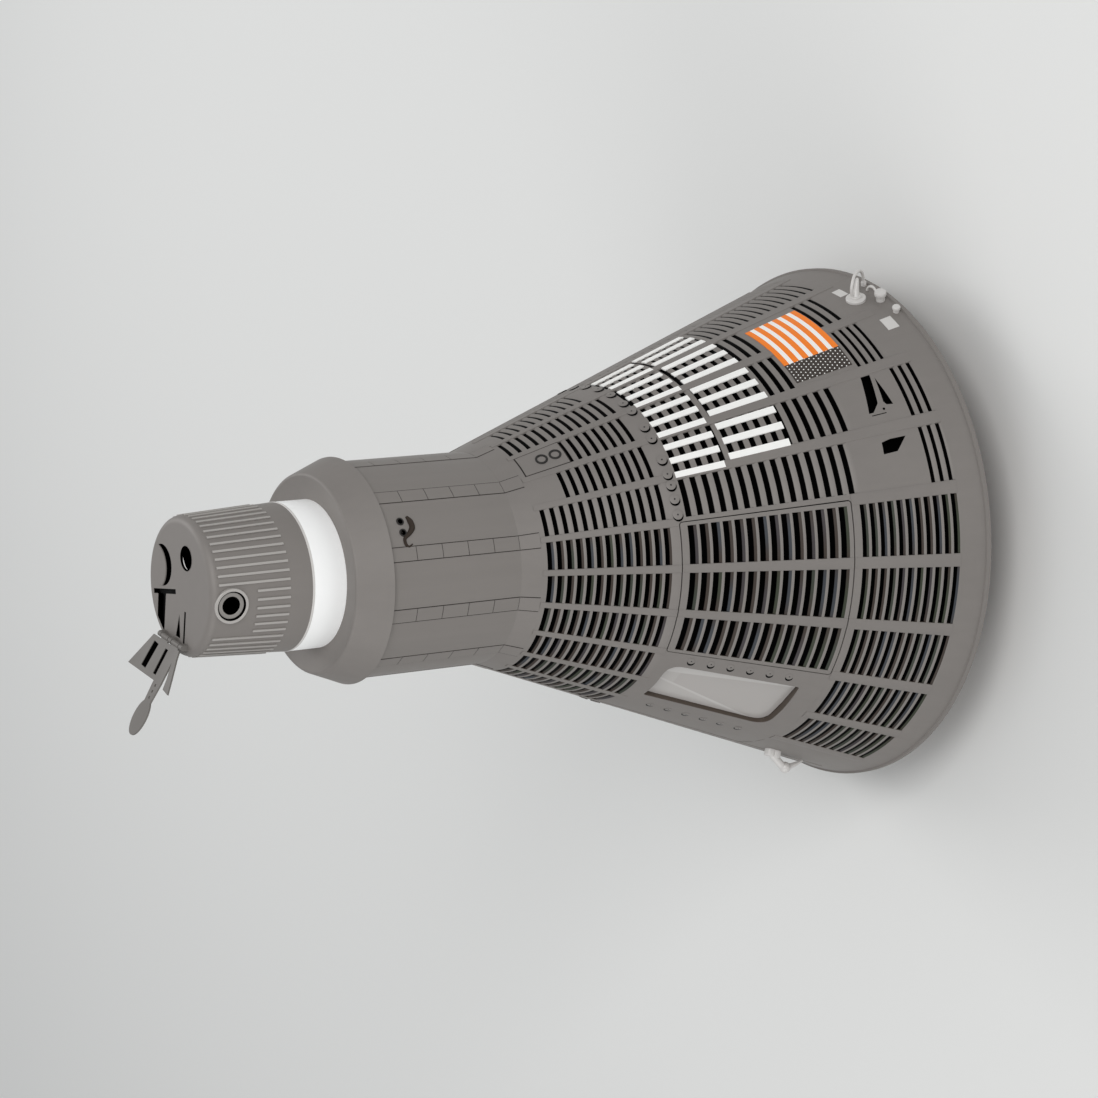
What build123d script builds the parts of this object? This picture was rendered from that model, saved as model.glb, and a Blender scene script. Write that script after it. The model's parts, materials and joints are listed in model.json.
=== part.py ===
from build123d import *
import os
from math import atan, atan2, cos, degrees, radians, sin, sqrt, tan

os.makedirs("parts", exist_ok=True)

# One-seat conical space capsule, standing nose up on its heat shield. Millimetres, +Z towards the nose,
# origin at the lowest point of the heat shield. Heights named *_S are above the rim plane, where the
# capsule is widest. Angles named *_PSI turn about +Z from -Y, the hatch side, towards +X.

# Overall form
BASE_R = 946.0
SHIELD_SPHERE_R = 2032.0
CONE_ANGLE = 20.0
CYLINDER_R = 370.0
CYLINDER_LENGTH = 505.0
FLARE_R = 388.0
FLARE_TOP_R = 340.0
FLARE_LENGTH = 122.0
FLARE_ROUND = 10.0
FLARE_DISH = 16.0
BAND_R = 252.0
BAND_LENGTH = 119.0
CANISTER_LENGTH = 371.0
CANISTER_NOSE_R = 222.0
NOSE_EDGE = 24.0

# Walls, measured square to the cone
SHINGLE_T = 20.0
OUTER_WALL_T = 26.0
PRESSURE_WALL_T = 30.0
SEAT_GAP = 0.5
FIT_GAP = 0.4

# Heights of the cabin's panels above the rim
SHIELD_LIP = 20.0
SKIRT_TOP_S = 105.0
AFT_TOP_S = 470.0
MID_TOP_S = 1055.0
COLLAR_LENGTH = 70.0

# Shingles
SECTORS = 22
LOUVRE_DEPTH = 12.0
LOUVRE_CREST = 9.0
LOUVRE_DROP = 2.0
RAIL_ANGLE = 2.9
RAIL_T = 5.0

# Hatch
HATCH_SECTORS = 3
HATCH_GAP = 5.0
HATCH_LEDGE = 25.0
HATCH_ROUND = 20.0

# Window
WINDOW_PSI = -40.91
WINDOW_AFT_S = 551.0
WINDOW_TOP_S = 1022.0
WINDOW_HALF_ANGLE = 10.3
WINDOW_BORDER = 26.0
WINDOW_ROUND = 60.0
WINDOW_CORNER = 10.0
WINDOW_SUNK = 28.0
PANE_T = 10.0

# Plates and recesses of the cone
WINDOW_SECTORS = 3
PORT_SECTORS = 2
SKIRT_PANEL_SECTORS = 2
SKIRT_PANEL_TOP_S = 190.0
PORT_AFT_S = 212.0
PORT_TOP_S = 452.0
# Corners of each port: angle, height
PORTS = (
    ((55.6, 300.0), (55.6, 267.0), (47.6, 287.0), (45.4, 314.0), (45.4, 330.0)),
    ((54.5, 256.0), (46.4, 238.0), (46.7, 260.0), (47.6, 267.0)),
    ((37.5, 323.0), (38.0, 292.0), (38.0, 237.0), (34.7, 278.0), (34.5, 327.0)),
)
THRUSTER_PSI = 65.45
THRUSTER_AFT_S = 1338.0
THRUSTER_TOP_S = 1492.0
THRUSTER_HALF_ANGLE = 6.4
THRUSTER_PLATE_T = 6.0
NOZZLE_MID_S = 1393.0
NOZZLE_R = 15.0
NOZZLE_PITCH = 52.0

# Strips along the cylinder
STRIPS = 11
STRIP_WIDTH = 47.0
STRIP_T = 5.0
STRIP_PIECES = 5
STRIP_GAP = 2.0
CYLINDER_JETS_PSI = (39.0, 219.0)
JET_R = 9.0
JET_PITCH = 40.0
JET_BELOW_TOP = 65.0

# Nose canister
RIBS = 52
RIB_WIDTH = 8.0
RIB_PROUD = 4.0
RIB_START = 90.0
RIB_END = 26.0
SHORT_RIB_LENGTH = 118.0
SHORT_RIB_PSI = (-25.0, 17.0)
SCANNER_R = 60.0
SCANNER_ABOVE_LIP = 300.0
SCANNER_DEPTH = 70.0
SCANNER_PROUD = 5.0
SCANNER_RING = 10.0
SCANNER_GROOVE = 5.0
SCANNER_GROOVE_DEPTH = 12.0
SCANNER_BORE_R = 31.0
SCANNER_SET_BACK = 2.0
SCANNER_FLOOR_T = 12.0
NOSE_PORT_XY = (108.0, -36.0)
NOSE_PORT_R = 43.0
NOSE_PORT_DEPTH = 60.0
NOSE_PORT_WALL = 4.0
CAP_POCKET_XY = (36.0, 134.0)
CAP_POCKET_R = 70.0
CAP_EDGE_XY = (20.0, 178.0)
CAP_EDGE_R = 78.0
CAP_PROUD = 4.0
NOSE_RECESS_DEPTH = 14.0
# Recesses in the nose face, a T, a wedge and a slot: corners as x, y
NOSE_RECESSES = (
    ((-78.0, 182.0), (-62.0, 186.0), (-17.0, 27.0), (-33.0, 23.0)),
    ((-49.0, 94.0), (-65.0, 152.0), (-146.0, 148.0), (-186.0, 92.0)),
    ((-90.0, -10.0), (-172.0, 7.0), (-172.0, -25.0)),
    ((-72.0, -44.0), (-200.0, -46.0), (-200.0, -58.0), (-72.0, -56.0)),
)

# Flap on the nose
FLAP_TILT = 27.0
HINGE_X = -186.0
HINGE_RISE = 18.0
PIN_R = 5.0
BARREL_R = 10.0
BARREL_WIDTH = 48.0
LUG_WIDTH = 20.0
LUG_GAP = 4.0
FLAP_T = 6.0
ARM_LENGTH = 334.0
ARM_Y = -41.0
ARM_WIDTH = 50.0
PADDLE_WIDTH = 80.0
PADDLE_LENGTH = 130.0
FAN_LENGTH = 142.0
FAN_ROOT_V = -114.0
FAN_TIP_V = -178.0
FAN_SLOT_LENGTH = 92.0
ARM_HOLES = 3
ARM_HOLE_R = 5.0
ARM_HOLE_PITCH = 22.0
WEB_LAP = 2.0
# Slots through the fan: place across the flap, width, turn
FAN_SLOTS = ((-78.0, 34.0, -4.0), (2.0, 20.0, 0.0))
# Side strip's outline: out from the hinge, across from the arm's edge
STRIP_OUTLINE = (
    (14.0, 0.0), (60.0, 0.0), (112.0, 18.0), (150.0, 26.0),
    (156.0, 66.0), (112.0, 48.0), (40.0, 16.0), (14.0, 8.0),
)

# Cabin
COUCH_WIDTH = 560.0
COUCH_STAND = 60.0
COUCH_ROUND = 22.0
COUCH_BEAM = 40.0
COUCH_BEAM_X = (-600.0, 160.0)
# Couch's side from the head along its top to the feet and back: x, height above the beams
COUCH_SECTION = (
    (-640.0, 0.0), (-640.0, 110.0), (-560.0, 70.0), (130.0, 60.0), (215.0, 430.0),
    (540.0, 430.0), (540.0, 360.0), (270.0, 360.0), (200.0, 0.0),
)
PANEL_S = 930.0
PANEL_T = 70.0
PANEL_HALF_WIDTH = 330.0
PANEL_BACK_X = -100.0
CONSOLE_INNER_Y = 420.0
CONSOLE_HALF_LENGTH = 300.0
LEFT_CONSOLE_S = 520.0
RIGHT_CONSOLE_S = 400.0

# Fittings on the skirt
UMBILICAL_PSI = 79.7
UMBILICAL_S = 107.0
UMBILICAL_R = 37.0
DISC_T = 9.0
UPPER_DISC_R = 22.0
STEM_ROOT_R = 14.0
STEM_TIP_R = 7.0
STEM_LENGTH = 70.0
STEM_LEAN = (24.0, -28.0)
HOSE_R = 4.5
HOSE_BEND_R = 22.0
HOSE_SIDES = 8
BOSS_R = 10.0
# Corners of the hose in the umbilical's plane: around, up the slope, outwards
HOSE = ((0.0, 16.0, 16.0), (4.0, 12.0, 60.0), (34.0, -34.0, 92.0), (62.0, -78.0, 58.0), (63.0, -80.0, 12.0))
# Knobs at the rim: angle about the axis, radius, height
KNOBS = ((76.0, 22.0, 40.0), (70.5, 15.0, 26.0))
KNOB_MARGIN = 3.0
STRUT_COLUMN = -4
STRUT_TURN = 4.5
STRUT_S = 350.0
LOBE_R = 20.0
LOBE_PITCH = 26.0
LOBE_T = 26.0
NECK_R = 15.0
BALL_R = 21.0
HORN_ROOT_R = 13.0
HORN_TIP_R = 5.0
# Places on the strut: up the slope from its foot, out from the skin
NECK_ROOT = (0.0, 14.0)
BALL_PLACE = (-67.0, 50.0)
HORN_TIP = (-138.0, 8.0)

SLOPE = radians(CONE_ANGLE)
RIM_Z = SHIELD_SPHERE_R - sqrt(SHIELD_SPHERE_R**2 - BASE_R**2)
JUNCTION_S = (BASE_R - CYLINDER_R) / tan(SLOPE)
CONE_TOP_S = JUNCTION_S - COLLAR_LENGTH
CYLINDER_TOP_S = JUNCTION_S + CYLINDER_LENGTH
FLARE_TOP_S = CYLINDER_TOP_S + FLARE_LENGTH
BAND_FOOT_S = FLARE_TOP_S - FLARE_DISH
BAND_TOP_S = BAND_FOOT_S + BAND_LENGTH
NOSE_S = BAND_TOP_S + CANISTER_LENGTH
WALL_T = SHINGLE_T + OUTER_WALL_T + PRESSURE_WALL_T + 2 * SEAT_GAP
SECTOR_ANGLE = 360 / SECTORS
HATCH_HALF_ANGLE = HATCH_SECTORS * SECTOR_ANGLE / 2
HALF_SECTOR = radians(SECTOR_ANGLE / 2)
FACET_FIT = 2 / (1 + cos(HALF_SECTOR))
FAR = 2 * BASE_R

# Rows of shingles: name, lower edge, upper edge, plain margin below, plain margin above, louvres
ROWS = {
    "aft": (SKIRT_TOP_S, AFT_TOP_S, 3.0, 17.0, 11),
    "mid": (AFT_TOP_S, MID_TOP_S, 18.0, 17.0, 14),
    "forward": (MID_TOP_S, CONE_TOP_S, 31.0, 6.0, 13),
}


def cone_r(s, inset=0.0):
    """Radius of the cone at height s, inset square to its surface."""
    return BASE_R - s * tan(SLOPE) - inset / cos(SLOPE)


def facet_r(s, inset=0.0):
    """Corner radius of the faceted skin, which straddles the cone."""
    return FACET_FIT * cone_r(s, inset)


def skin_plane(psi, s, slope=SLOPE, radius=None):
    """Plane on the skin: x around the cone, y up its slope, z outwards."""
    a = radians(psi)
    r = cone_r(s) if radius is None else radius
    origin = (r * sin(a), -r * cos(a), RIM_Z + s)
    outward = (sin(a) * cos(slope), -cos(a) * cos(slope), sin(slope))
    return Plane(origin=origin, x_dir=(cos(a), sin(a), 0), z_dir=outward)


def skin_point(alpha, s, s_origin):
    """Place of the cone's point (angle, height) in the plane at s_origin, seen square on."""
    a = radians(alpha)
    y = (cone_r(s_origin) - cone_r(s) * cos(a)) * sin(SLOPE) + (s - s_origin) * cos(SLOPE)
    return (cone_r(s) * sin(a), y)


def cone_shell(s0, s1, outer, inner):
    """Ring of wall between two depths below the skin."""
    with BuildPart() as shell:
        with BuildSketch(Plane.XZ):
            with BuildLine():
                Polyline(
                    (cone_r(s0, outer), RIM_Z + s0),
                    (cone_r(s1, outer), RIM_Z + s1),
                    (cone_r(s1, inner), RIM_Z + s1),
                    (cone_r(s0, inner), RIM_Z + s0),
                    close=True,
                )
            make_face()
        revolve(axis=Axis.Z)
    return shell.part


def cone_plug(s0, s1, inset):
    """Solid cone that fills everything deeper than inset below the skin."""
    with BuildPart() as plug:
        with BuildSketch(Plane.XZ):
            with BuildLine():
                Polyline(
                    (0, RIM_Z + s0),
                    (cone_r(s0, inset), RIM_Z + s0),
                    (cone_r(s1, inset), RIM_Z + s1),
                    (0, RIM_Z + s1),
                    close=True,
                )
            make_face()
        revolve(axis=Axis.Z)
    return plug.part


def sector(psi0, psi1, s0, s1):
    """Wedge about the axis between two angles and two heights."""
    steps = 3
    rim = [radians(psi0 + (psi1 - psi0) * i / steps) for i in range(steps + 1)]
    with BuildPart() as wedge:
        with BuildSketch(Plane.XY.offset(RIM_Z + s0)):
            with BuildLine():
                Polyline((0, 0), *[(FAR * sin(a), -FAR * cos(a)) for a in rim], close=True)
            make_face()
        extrude(amount=s1 - s0)
    return wedge.part


def skin_prism(psi, half_angle, s0, s1, inset, rounds=()):
    """Prism square to the skin, with arcs along s0 and s1; inset moves its outline inwards.

    rounds holds two radii, which take turns around the corners from the low left one.
    """
    mid = (s0 + s1) / 2
    corners = [skin_point(side * half_angle, s, mid) for side, s in ((-1, s0), (-1, s1), (1, s1), (1, s0))]
    with BuildPart() as prism:
        with BuildSketch(skin_plane(psi, mid)) as outline:
            with BuildLine():
                Line(corners[0], corners[1])
                ThreePointArc(corners[1], skin_point(0, s1, mid), corners[2])
                Line(corners[2], corners[3])
                ThreePointArc(corners[3], skin_point(0, s0, mid), corners[0])
            make_face()
            if inset:
                offset(amount=-inset, kind=Kind.INTERSECTION)
            if rounds:
                for i, corner in enumerate(corners):
                    fillet(outline.vertices().sort_by_distance((*corner, 0))[0], rounds[i % 2])
        extrude(amount=WALL_T * 4, both=True)
    return prism.part


def faceted_ring(stations):
    """Skin ring through flat-sided stations (height, depth), hollowed to the seat on the wall."""
    s0 = stations[0][0]
    s1 = stations[-1][0]
    with BuildPart() as ring:
        for s, depth in stations:
            with BuildSketch(Plane.XY.offset(RIM_Z + s)):
                RegularPolygon(facet_r(s, depth), SECTORS)
        loft(ruled=True, clean=False)
        add(cone_plug(s0, s1, SHINGLE_T), clean=False, mode=Mode.SUBTRACT)
    return ring.part


def plain_panel(psi0, psi1, s0, s1):
    """Plain plate of the skin between two angles and two heights."""
    with BuildPart() as panel:
        add(faceted_ring([(s0, 0.0), (s1, 0.0)]))
        add(sector(psi0, psi1, s0, s1), mode=Mode.INTERSECT)
    return panel.part


def facet_plane(column, s):
    """Plane of one flat column of the skin, at its middle."""
    return skin_plane(column * SECTOR_ANGLE, s, FACET_SLOPE, facet_r(s) * cos(HALF_SECTOR))


def louvre_stations(row):
    """Heights and depths of one row: each louvre has a flat crest, a slope and a steep drop."""
    s0, s1, margin0, margin1, count = ROWS[row]
    pitch = (s1 - margin1 - s0 - margin0) / count
    stations = [(s0, 0.0)]
    for i in range(count):
        start = s0 + margin0 + i * pitch
        stations += [(start, 0.0), (start + LOUVRE_CREST, 0.0), (start + pitch - LOUVRE_DROP, LOUVRE_DEPTH)]
    return stations + [(s1 - margin1, 0.0), (s1, 0.0)]


def skin_bar(psi, s0, s1, left, right, thickness, slope, radius):
    """Flat bar lying on the skin; left, right and radius are functions of height."""
    length = (s1 - s0) / cos(slope)
    with BuildPart() as bar:
        with BuildSketch(skin_plane(psi, s0, slope, radius(s0)).offset(SEAT_GAP)):
            with BuildLine():
                Polyline(
                    (left(s0), 0), (right(s0), 0), (right(s1), length), (left(s1), length), close=True
                )
            make_face()
        extrude(amount=thickness)
    return bar.part


RIDGE_SLOPE = atan(FACET_FIT * tan(SLOPE))
FACET_SLOPE = atan(FACET_FIT * cos(HALF_SECTOR) * tan(SLOPE))


def rail_half_width(s):
    """Half the width of a rail, which narrows with the cone."""
    return cone_r(s) * tan(radians(RAIL_ANGLE / 2))


def ridge_rail(psi, s0, s1):
    """Rail along the ridge between two columns of shingles."""
    return skin_bar(
        psi, s0, s1, lambda s: -rail_half_width(s), rail_half_width, RAIL_T, RIDGE_SLOPE, facet_r
    )


def edge_rail(column, side, s0, s1):
    """Half rail on one column of shingles, beside the hatch seam; side is -1 or 1."""

    def ridge(s):
        return side * (facet_r(s) * sin(HALF_SECTOR) - HATCH_GAP)

    return skin_bar(
        column * SECTOR_ANGLE, s0, s1, ridge, lambda s: ridge(s) - side * rail_half_width(s), RAIL_T,
        FACET_SLOPE, lambda s: facet_r(s) * cos(HALF_SECTOR),
    )


# Heat shield: a spherical dish with a short straight lip
with BuildPart() as heat_shield:
    with BuildSketch(Plane.XZ):
        with BuildLine():
            Line((0, 0), (0, RIM_Z + SHIELD_LIP))
            Line((0, RIM_Z + SHIELD_LIP), (BASE_R, RIM_Z + SHIELD_LIP))
            Line((BASE_R, RIM_Z + SHIELD_LIP), (BASE_R, RIM_Z))
            RadiusArc((BASE_R, RIM_Z), (0, 0), SHIELD_SPHERE_R)
        make_face()
    revolve(axis=Axis.Z)

# Skirt: the smooth ring between the shield and the shingles
with BuildPart() as skirt:
    add(cone_shell(SHIELD_LIP, SKIRT_TOP_S, 0, WALL_T))

with BuildPart() as aft_bulkhead:
    add(cone_plug(SHIELD_LIP, SKIRT_TOP_S, WALL_T + SEAT_GAP))

with BuildPart() as forward_bulkhead:
    add(cone_plug(CONE_TOP_S - OUTER_WALL_T, CONE_TOP_S, WALL_T + SEAT_GAP))

# Cabin walls, cut for the hatch and the window
outer_depth = SHINGLE_T + SEAT_GAP
inner_depth = outer_depth + OUTER_WALL_T + SEAT_GAP
outer_ring = cone_shell(SKIRT_TOP_S, CONE_TOP_S, outer_depth, outer_depth + OUTER_WALL_T)
pressure_ring = cone_shell(SKIRT_TOP_S, CONE_TOP_S, inner_depth, inner_depth + PRESSURE_WALL_T)
hatch_limits = (0.0, HATCH_HALF_ANGLE, AFT_TOP_S, MID_TOP_S)
hatch_rounds = (HATCH_ROUND, HATCH_ROUND)
hatch_hole = skin_prism(*hatch_limits, 0.0, hatch_rounds)
window_limits = (WINDOW_PSI, WINDOW_HALF_ANGLE, WINDOW_AFT_S, WINDOW_TOP_S)
window_rounds = (WINDOW_ROUND, WINDOW_CORNER)
window_hole = skin_prism(*window_limits, -FIT_GAP, window_rounds)
window_light = skin_prism(*window_limits, WINDOW_BORDER, window_rounds)

with BuildPart() as outer_wall:
    add(outer_ring)
    add(hatch_hole, mode=Mode.SUBTRACT)
    add(window_hole, mode=Mode.SUBTRACT)

with BuildPart() as pressure_wall:
    add(pressure_ring)
    add(skin_prism(*hatch_limits, HATCH_LEDGE, hatch_rounds), mode=Mode.SUBTRACT)
    add(window_light, mode=Mode.SUBTRACT)

# Shingles: rows of louvred plates around the cone, with plain plates between them
louvre_rings = {row: faceted_ring(louvre_stations(row)) for row in ROWS}
window_edge = -HATCH_HALF_ANGLE - WINDOW_SECTORS * SECTOR_ANGLE
port_edge = HATCH_HALF_ANGLE + PORT_SECTORS * SECTOR_ANGLE
skirt_edge = port_edge + SKIRT_PANEL_SECTORS * SECTOR_ANGLE
# Plain plates: lower and upper angle, lower and upper height
PLAIN = {
    "window": (window_edge, -HATCH_HALF_ANGLE, AFT_TOP_S, MID_TOP_S),
    "strut": (window_edge, window_edge + SECTOR_ANGLE, SKIRT_TOP_S, AFT_TOP_S),
    "port": (HATCH_HALF_ANGLE, port_edge, PORT_AFT_S, PORT_TOP_S),
    "skirt": (port_edge, skirt_edge, SKIRT_TOP_S, SKIRT_PANEL_TOP_S),
}

with BuildPart() as shingles_aft:
    add(louvre_rings["aft"])
    add(hatch_hole, clean=False, mode=Mode.SUBTRACT)
    for name in ("strut", "port", "skirt"):
        add(sector(*PLAIN[name]), clean=False, mode=Mode.SUBTRACT)

with BuildPart() as shingles_mid:
    add(louvre_rings["mid"])
    add(sector(window_edge, HATCH_HALF_ANGLE, AFT_TOP_S, MID_TOP_S), clean=False, mode=Mode.SUBTRACT)
    add(hatch_hole, clean=False, mode=Mode.SUBTRACT)

with BuildPart() as shingles_forward:
    add(louvre_rings["forward"])
    add(hatch_hole, clean=False, mode=Mode.SUBTRACT)

with BuildPart() as window_panel:
    add(plain_panel(*PLAIN["window"]))
    add(hatch_hole, mode=Mode.SUBTRACT)
    add(window_hole, mode=Mode.SUBTRACT)

with BuildPart() as strut_panel:
    add(plain_panel(*PLAIN["strut"]))

with BuildPart() as skirt_panel:
    add(plain_panel(*PLAIN["skirt"]))

port_mid_s = (PORT_AFT_S + PORT_TOP_S) / 2
with BuildPart() as port_panel:
    add(plain_panel(*PLAIN["port"]))
    for corners in PORTS:
        centre = sum(psi for psi, s in corners) / len(corners)
        with BuildSketch(skin_plane(centre, port_mid_s)):
            with BuildLine():
                Polyline(*[skin_point(psi - centre, s, port_mid_s) for psi, s in corners], close=True)
            make_face()
        extrude(amount=2 * SHINGLE_T, both=True, mode=Mode.SUBTRACT)

# Rails over the ridges. Where the hatch, the window and the ports are, a rail has gaps
first_column = (HATCH_SECTORS + 1) // 2
with BuildPart() as rails:
    for k in range(SECTORS):
        psi = (k + 0.5) * SECTOR_ANGLE
        psi = psi - 360 if psi > 180 else psi
        spans = [(SKIRT_TOP_S, CONE_TOP_S)]
        if window_edge + RAIL_ANGLE < psi < HATCH_HALF_ANGLE + RAIL_ANGLE:
            spans = [(SKIRT_TOP_S, AFT_TOP_S - 2 * HATCH_GAP), (MID_TOP_S + 2 * HATCH_GAP, CONE_TOP_S)]
        if HATCH_HALF_ANGLE + RAIL_ANGLE < psi < port_edge - RAIL_ANGLE:
            spans = [(SKIRT_TOP_S, PORT_AFT_S), (PORT_TOP_S, CONE_TOP_S)]
        for s0, s1 in spans:
            add(ridge_rail(psi, s0, s1))
    add(edge_rail(first_column, -1, AFT_TOP_S + HATCH_GAP, MID_TOP_S - HATCH_GAP))

# Window: a frame in the wall with a flat pane on it, sunk below the skin
window_plane = skin_plane(WINDOW_PSI, (WINDOW_AFT_S + WINDOW_TOP_S) / 2)
frame_top = -WINDOW_SUNK - PANE_T
frame_bottom = -outer_depth - OUTER_WALL_T


def window_slab(inset, low, high):
    """Slab with the window's outline between two heights, negative below the skin."""
    with BuildPart() as slab:
        add(skin_prism(*window_limits, inset, window_rounds))
        split(bisect_by=window_plane.offset(high), keep=Keep.BOTTOM)
        split(bisect_by=window_plane.offset(low), keep=Keep.TOP)
    return slab.part


with BuildPart() as window_frame:
    add(window_slab(0.0, frame_bottom, frame_top))
    add(window_light, mode=Mode.SUBTRACT)

with BuildPart() as window_pane:
    add(window_slab(0.0, frame_top, frame_top + PANE_T))

# Hatch: shingles, rails, panel and plug that come away together
with BuildPart() as hatch_shingles:
    add(louvre_rings["mid"])
    add(skin_prism(*hatch_limits, HATCH_GAP, hatch_rounds), clean=False, mode=Mode.INTERSECT)

with BuildPart() as hatch_rails:
    for psi in (-SECTOR_ANGLE / 2, SECTOR_ANGLE / 2):
        add(ridge_rail(psi, AFT_TOP_S + 2 * HATCH_GAP, MID_TOP_S - 2 * HATCH_GAP))
    for side in (-1, 1):
        add(edge_rail(side, side, AFT_TOP_S + HATCH_ROUND, MID_TOP_S - HATCH_ROUND))

with BuildPart() as hatch_panel:
    add(outer_ring)
    add(skin_prism(*hatch_limits, HATCH_GAP, hatch_rounds), mode=Mode.INTERSECT)

with BuildPart() as hatch_plug:
    add(pressure_ring)
    add(skin_prism(*hatch_limits, HATCH_LEDGE + HATCH_GAP, hatch_rounds), mode=Mode.INTERSECT)

# Two-nozzle plate on the forward shingles


def thruster_half_width(s):
    """Half the width of the nozzle plate at a height."""
    return cone_r(s) * sin(radians(THRUSTER_HALF_ANGLE))


with BuildPart() as thruster_panel:
    add(
        skin_bar(
            THRUSTER_PSI, THRUSTER_AFT_S, THRUSTER_TOP_S, lambda s: -thruster_half_width(s),
            thruster_half_width, THRUSTER_PLATE_T, FACET_SLOPE, lambda s: facet_r(s) * cos(HALF_SECTOR),
        )
    )
    thruster_plane = skin_plane(
        THRUSTER_PSI, NOZZLE_MID_S, FACET_SLOPE, facet_r(NOZZLE_MID_S) * cos(HALF_SECTOR)
    )
    with BuildSketch(thruster_plane):
        with GridLocations(NOZZLE_PITCH, NOZZLE_PITCH, 1, 2):
            Circle(NOZZLE_R)
    extrude(amount=2 * THRUSTER_PLATE_T + 2 * SEAT_GAP, mode=Mode.SUBTRACT)

# Recovery section: collar and cylinder, with a pair of jets on two sides
with BuildPart() as recovery_cylinder:
    with BuildSketch(Plane.XZ):
        with BuildLine():
            Polyline(
                (0, RIM_Z + CONE_TOP_S),
                (cone_r(CONE_TOP_S), RIM_Z + CONE_TOP_S),
                (CYLINDER_R, RIM_Z + JUNCTION_S),
                (CYLINDER_R, RIM_Z + CYLINDER_TOP_S),
                (0, RIM_Z + CYLINDER_TOP_S),
                close=True,
            )
        make_face()
    revolve(axis=Axis.Z)
    for psi in CYLINDER_JETS_PSI:
        with BuildSketch(skin_plane(psi, CYLINDER_TOP_S - JET_BELOW_TOP, 0.0, CYLINDER_R)):
            with GridLocations(JET_PITCH, JET_PITCH, 2, 1):
                Circle(JET_R)
        extrude(amount=-4 * JET_R, mode=Mode.SUBTRACT)

# Strips along the cylinder, each of short lengths end to end
strip_pitch = (CYLINDER_LENGTH - STRIP_GAP) / STRIP_PIECES
with BuildPart() as cylinder_strips:
    for k in range(STRIPS):
        psi = (2 * k + 1.5) * SECTOR_ANGLE
        for i in range(STRIP_PIECES):
            low = JUNCTION_S + STRIP_GAP + i * strip_pitch
            with BuildSketch(skin_plane(psi, low, 0.0, CYLINDER_R + SEAT_GAP)):
                with Locations((0, (strip_pitch - STRIP_GAP) / 2)):
                    Rectangle(STRIP_WIDTH, strip_pitch - STRIP_GAP)
            extrude(amount=STRIP_T)

# Flare over the recovery section, with a dished front round the band
with BuildPart() as flare:
    with BuildSketch(Plane.XZ):
        with BuildLine():
            Polyline(
                (0, RIM_Z + BAND_FOOT_S),
                (0, RIM_Z + CYLINDER_TOP_S),
                (FLARE_R, RIM_Z + CYLINDER_TOP_S),
                (FLARE_TOP_R, RIM_Z + FLARE_TOP_S),
                (BAND_R, RIM_Z + BAND_FOOT_S),
                close=True,
            )
        make_face()
        fillet(vertices().sort_by(Axis.Y)[-1], radius=FLARE_ROUND)
    revolve(axis=Axis.Z)

with BuildPart() as antenna_band:
    with BuildSketch(Plane.XY.offset(RIM_Z + BAND_FOOT_S)):
        Circle(BAND_R)
    extrude(amount=BAND_LENGTH)

# Nose canister: a barrel with a smooth lip, ribs, a scanner bore and recesses in its face


def barrel_r(h):
    """Radius of the barrel at height h above its lower edge."""
    return BAND_R + (CANISTER_NOSE_R + NOSE_EDGE / 2 - BAND_R) * h / (CANISTER_LENGTH - NOSE_EDGE)


canister_z = RIM_Z + BAND_TOP_S
nose_z = RIM_Z + NOSE_S
scanner_r = barrel_r(SCANNER_ABOVE_LIP)
scanner_slope = atan((barrel_r(0) - barrel_r(CANISTER_LENGTH - NOSE_EDGE)) / (CANISTER_LENGTH - NOSE_EDGE))
scanner_plane = skin_plane(0.0, BAND_TOP_S + SCANNER_ABOVE_LIP, scanner_slope, scanner_r)
with BuildPart() as canister:
    with BuildSketch(Plane.XZ):
        with BuildLine():
            Polyline(
                (0, nose_z),
                (0, canister_z),
                (barrel_r(0), canister_z),
                (barrel_r(CANISTER_LENGTH - NOSE_EDGE), nose_z - NOSE_EDGE),
            )
            RadiusArc(
                (barrel_r(CANISTER_LENGTH - NOSE_EDGE), nose_z - NOSE_EDGE),
                (CANISTER_NOSE_R - NOSE_EDGE / 2, nose_z),
                -NOSE_EDGE,
            )
            Line((CANISTER_NOSE_R - NOSE_EDGE / 2, nose_z), (0, nose_z))
        make_face()
    revolve(axis=Axis.Z)
    for k in range(RIBS):
        psi = -180 + (k + 0.5) * 360 / RIBS
        top = CANISTER_LENGTH - RIB_END
        if SHORT_RIB_PSI[0] < psi < SHORT_RIB_PSI[1]:
            top = RIB_START + SHORT_RIB_LENGTH
        a = radians(psi)
        rib_plane = Plane((0, 0, canister_z), x_dir=(sin(a), -cos(a), 0), z_dir=(-cos(a), -sin(a), 0))
        with BuildSketch(rib_plane):
            with BuildLine():
                Polyline(
                    (barrel_r(RIB_START) - RIB_PROUD, RIB_START),
                    (barrel_r(RIB_START) + RIB_PROUD, RIB_START),
                    (barrel_r(top) + RIB_PROUD, top),
                    (barrel_r(top) - RIB_PROUD, top),
                    close=True,
                )
            make_face()
        extrude(amount=RIB_WIDTH / 2, both=True)
    with BuildSketch(scanner_plane):
        Circle(SCANNER_R + FIT_GAP)
    extrude(amount=-SCANNER_DEPTH, mode=Mode.SUBTRACT)
    with BuildSketch(Plane.XY.offset(nose_z)):
        with Locations(NOSE_PORT_XY):
            Circle(NOSE_PORT_R + FIT_GAP)
    extrude(amount=-NOSE_PORT_DEPTH, mode=Mode.SUBTRACT)
    with BuildSketch(Plane.XY.offset(nose_z)):
        with Locations(CAP_POCKET_XY):
            Circle(CAP_POCKET_R)
        for corners in NOSE_RECESSES:
            with BuildLine():
                Polyline(*corners, close=True)
            make_face()
    extrude(amount=-NOSE_RECESS_DEPTH, mode=Mode.SUBTRACT)

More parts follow.
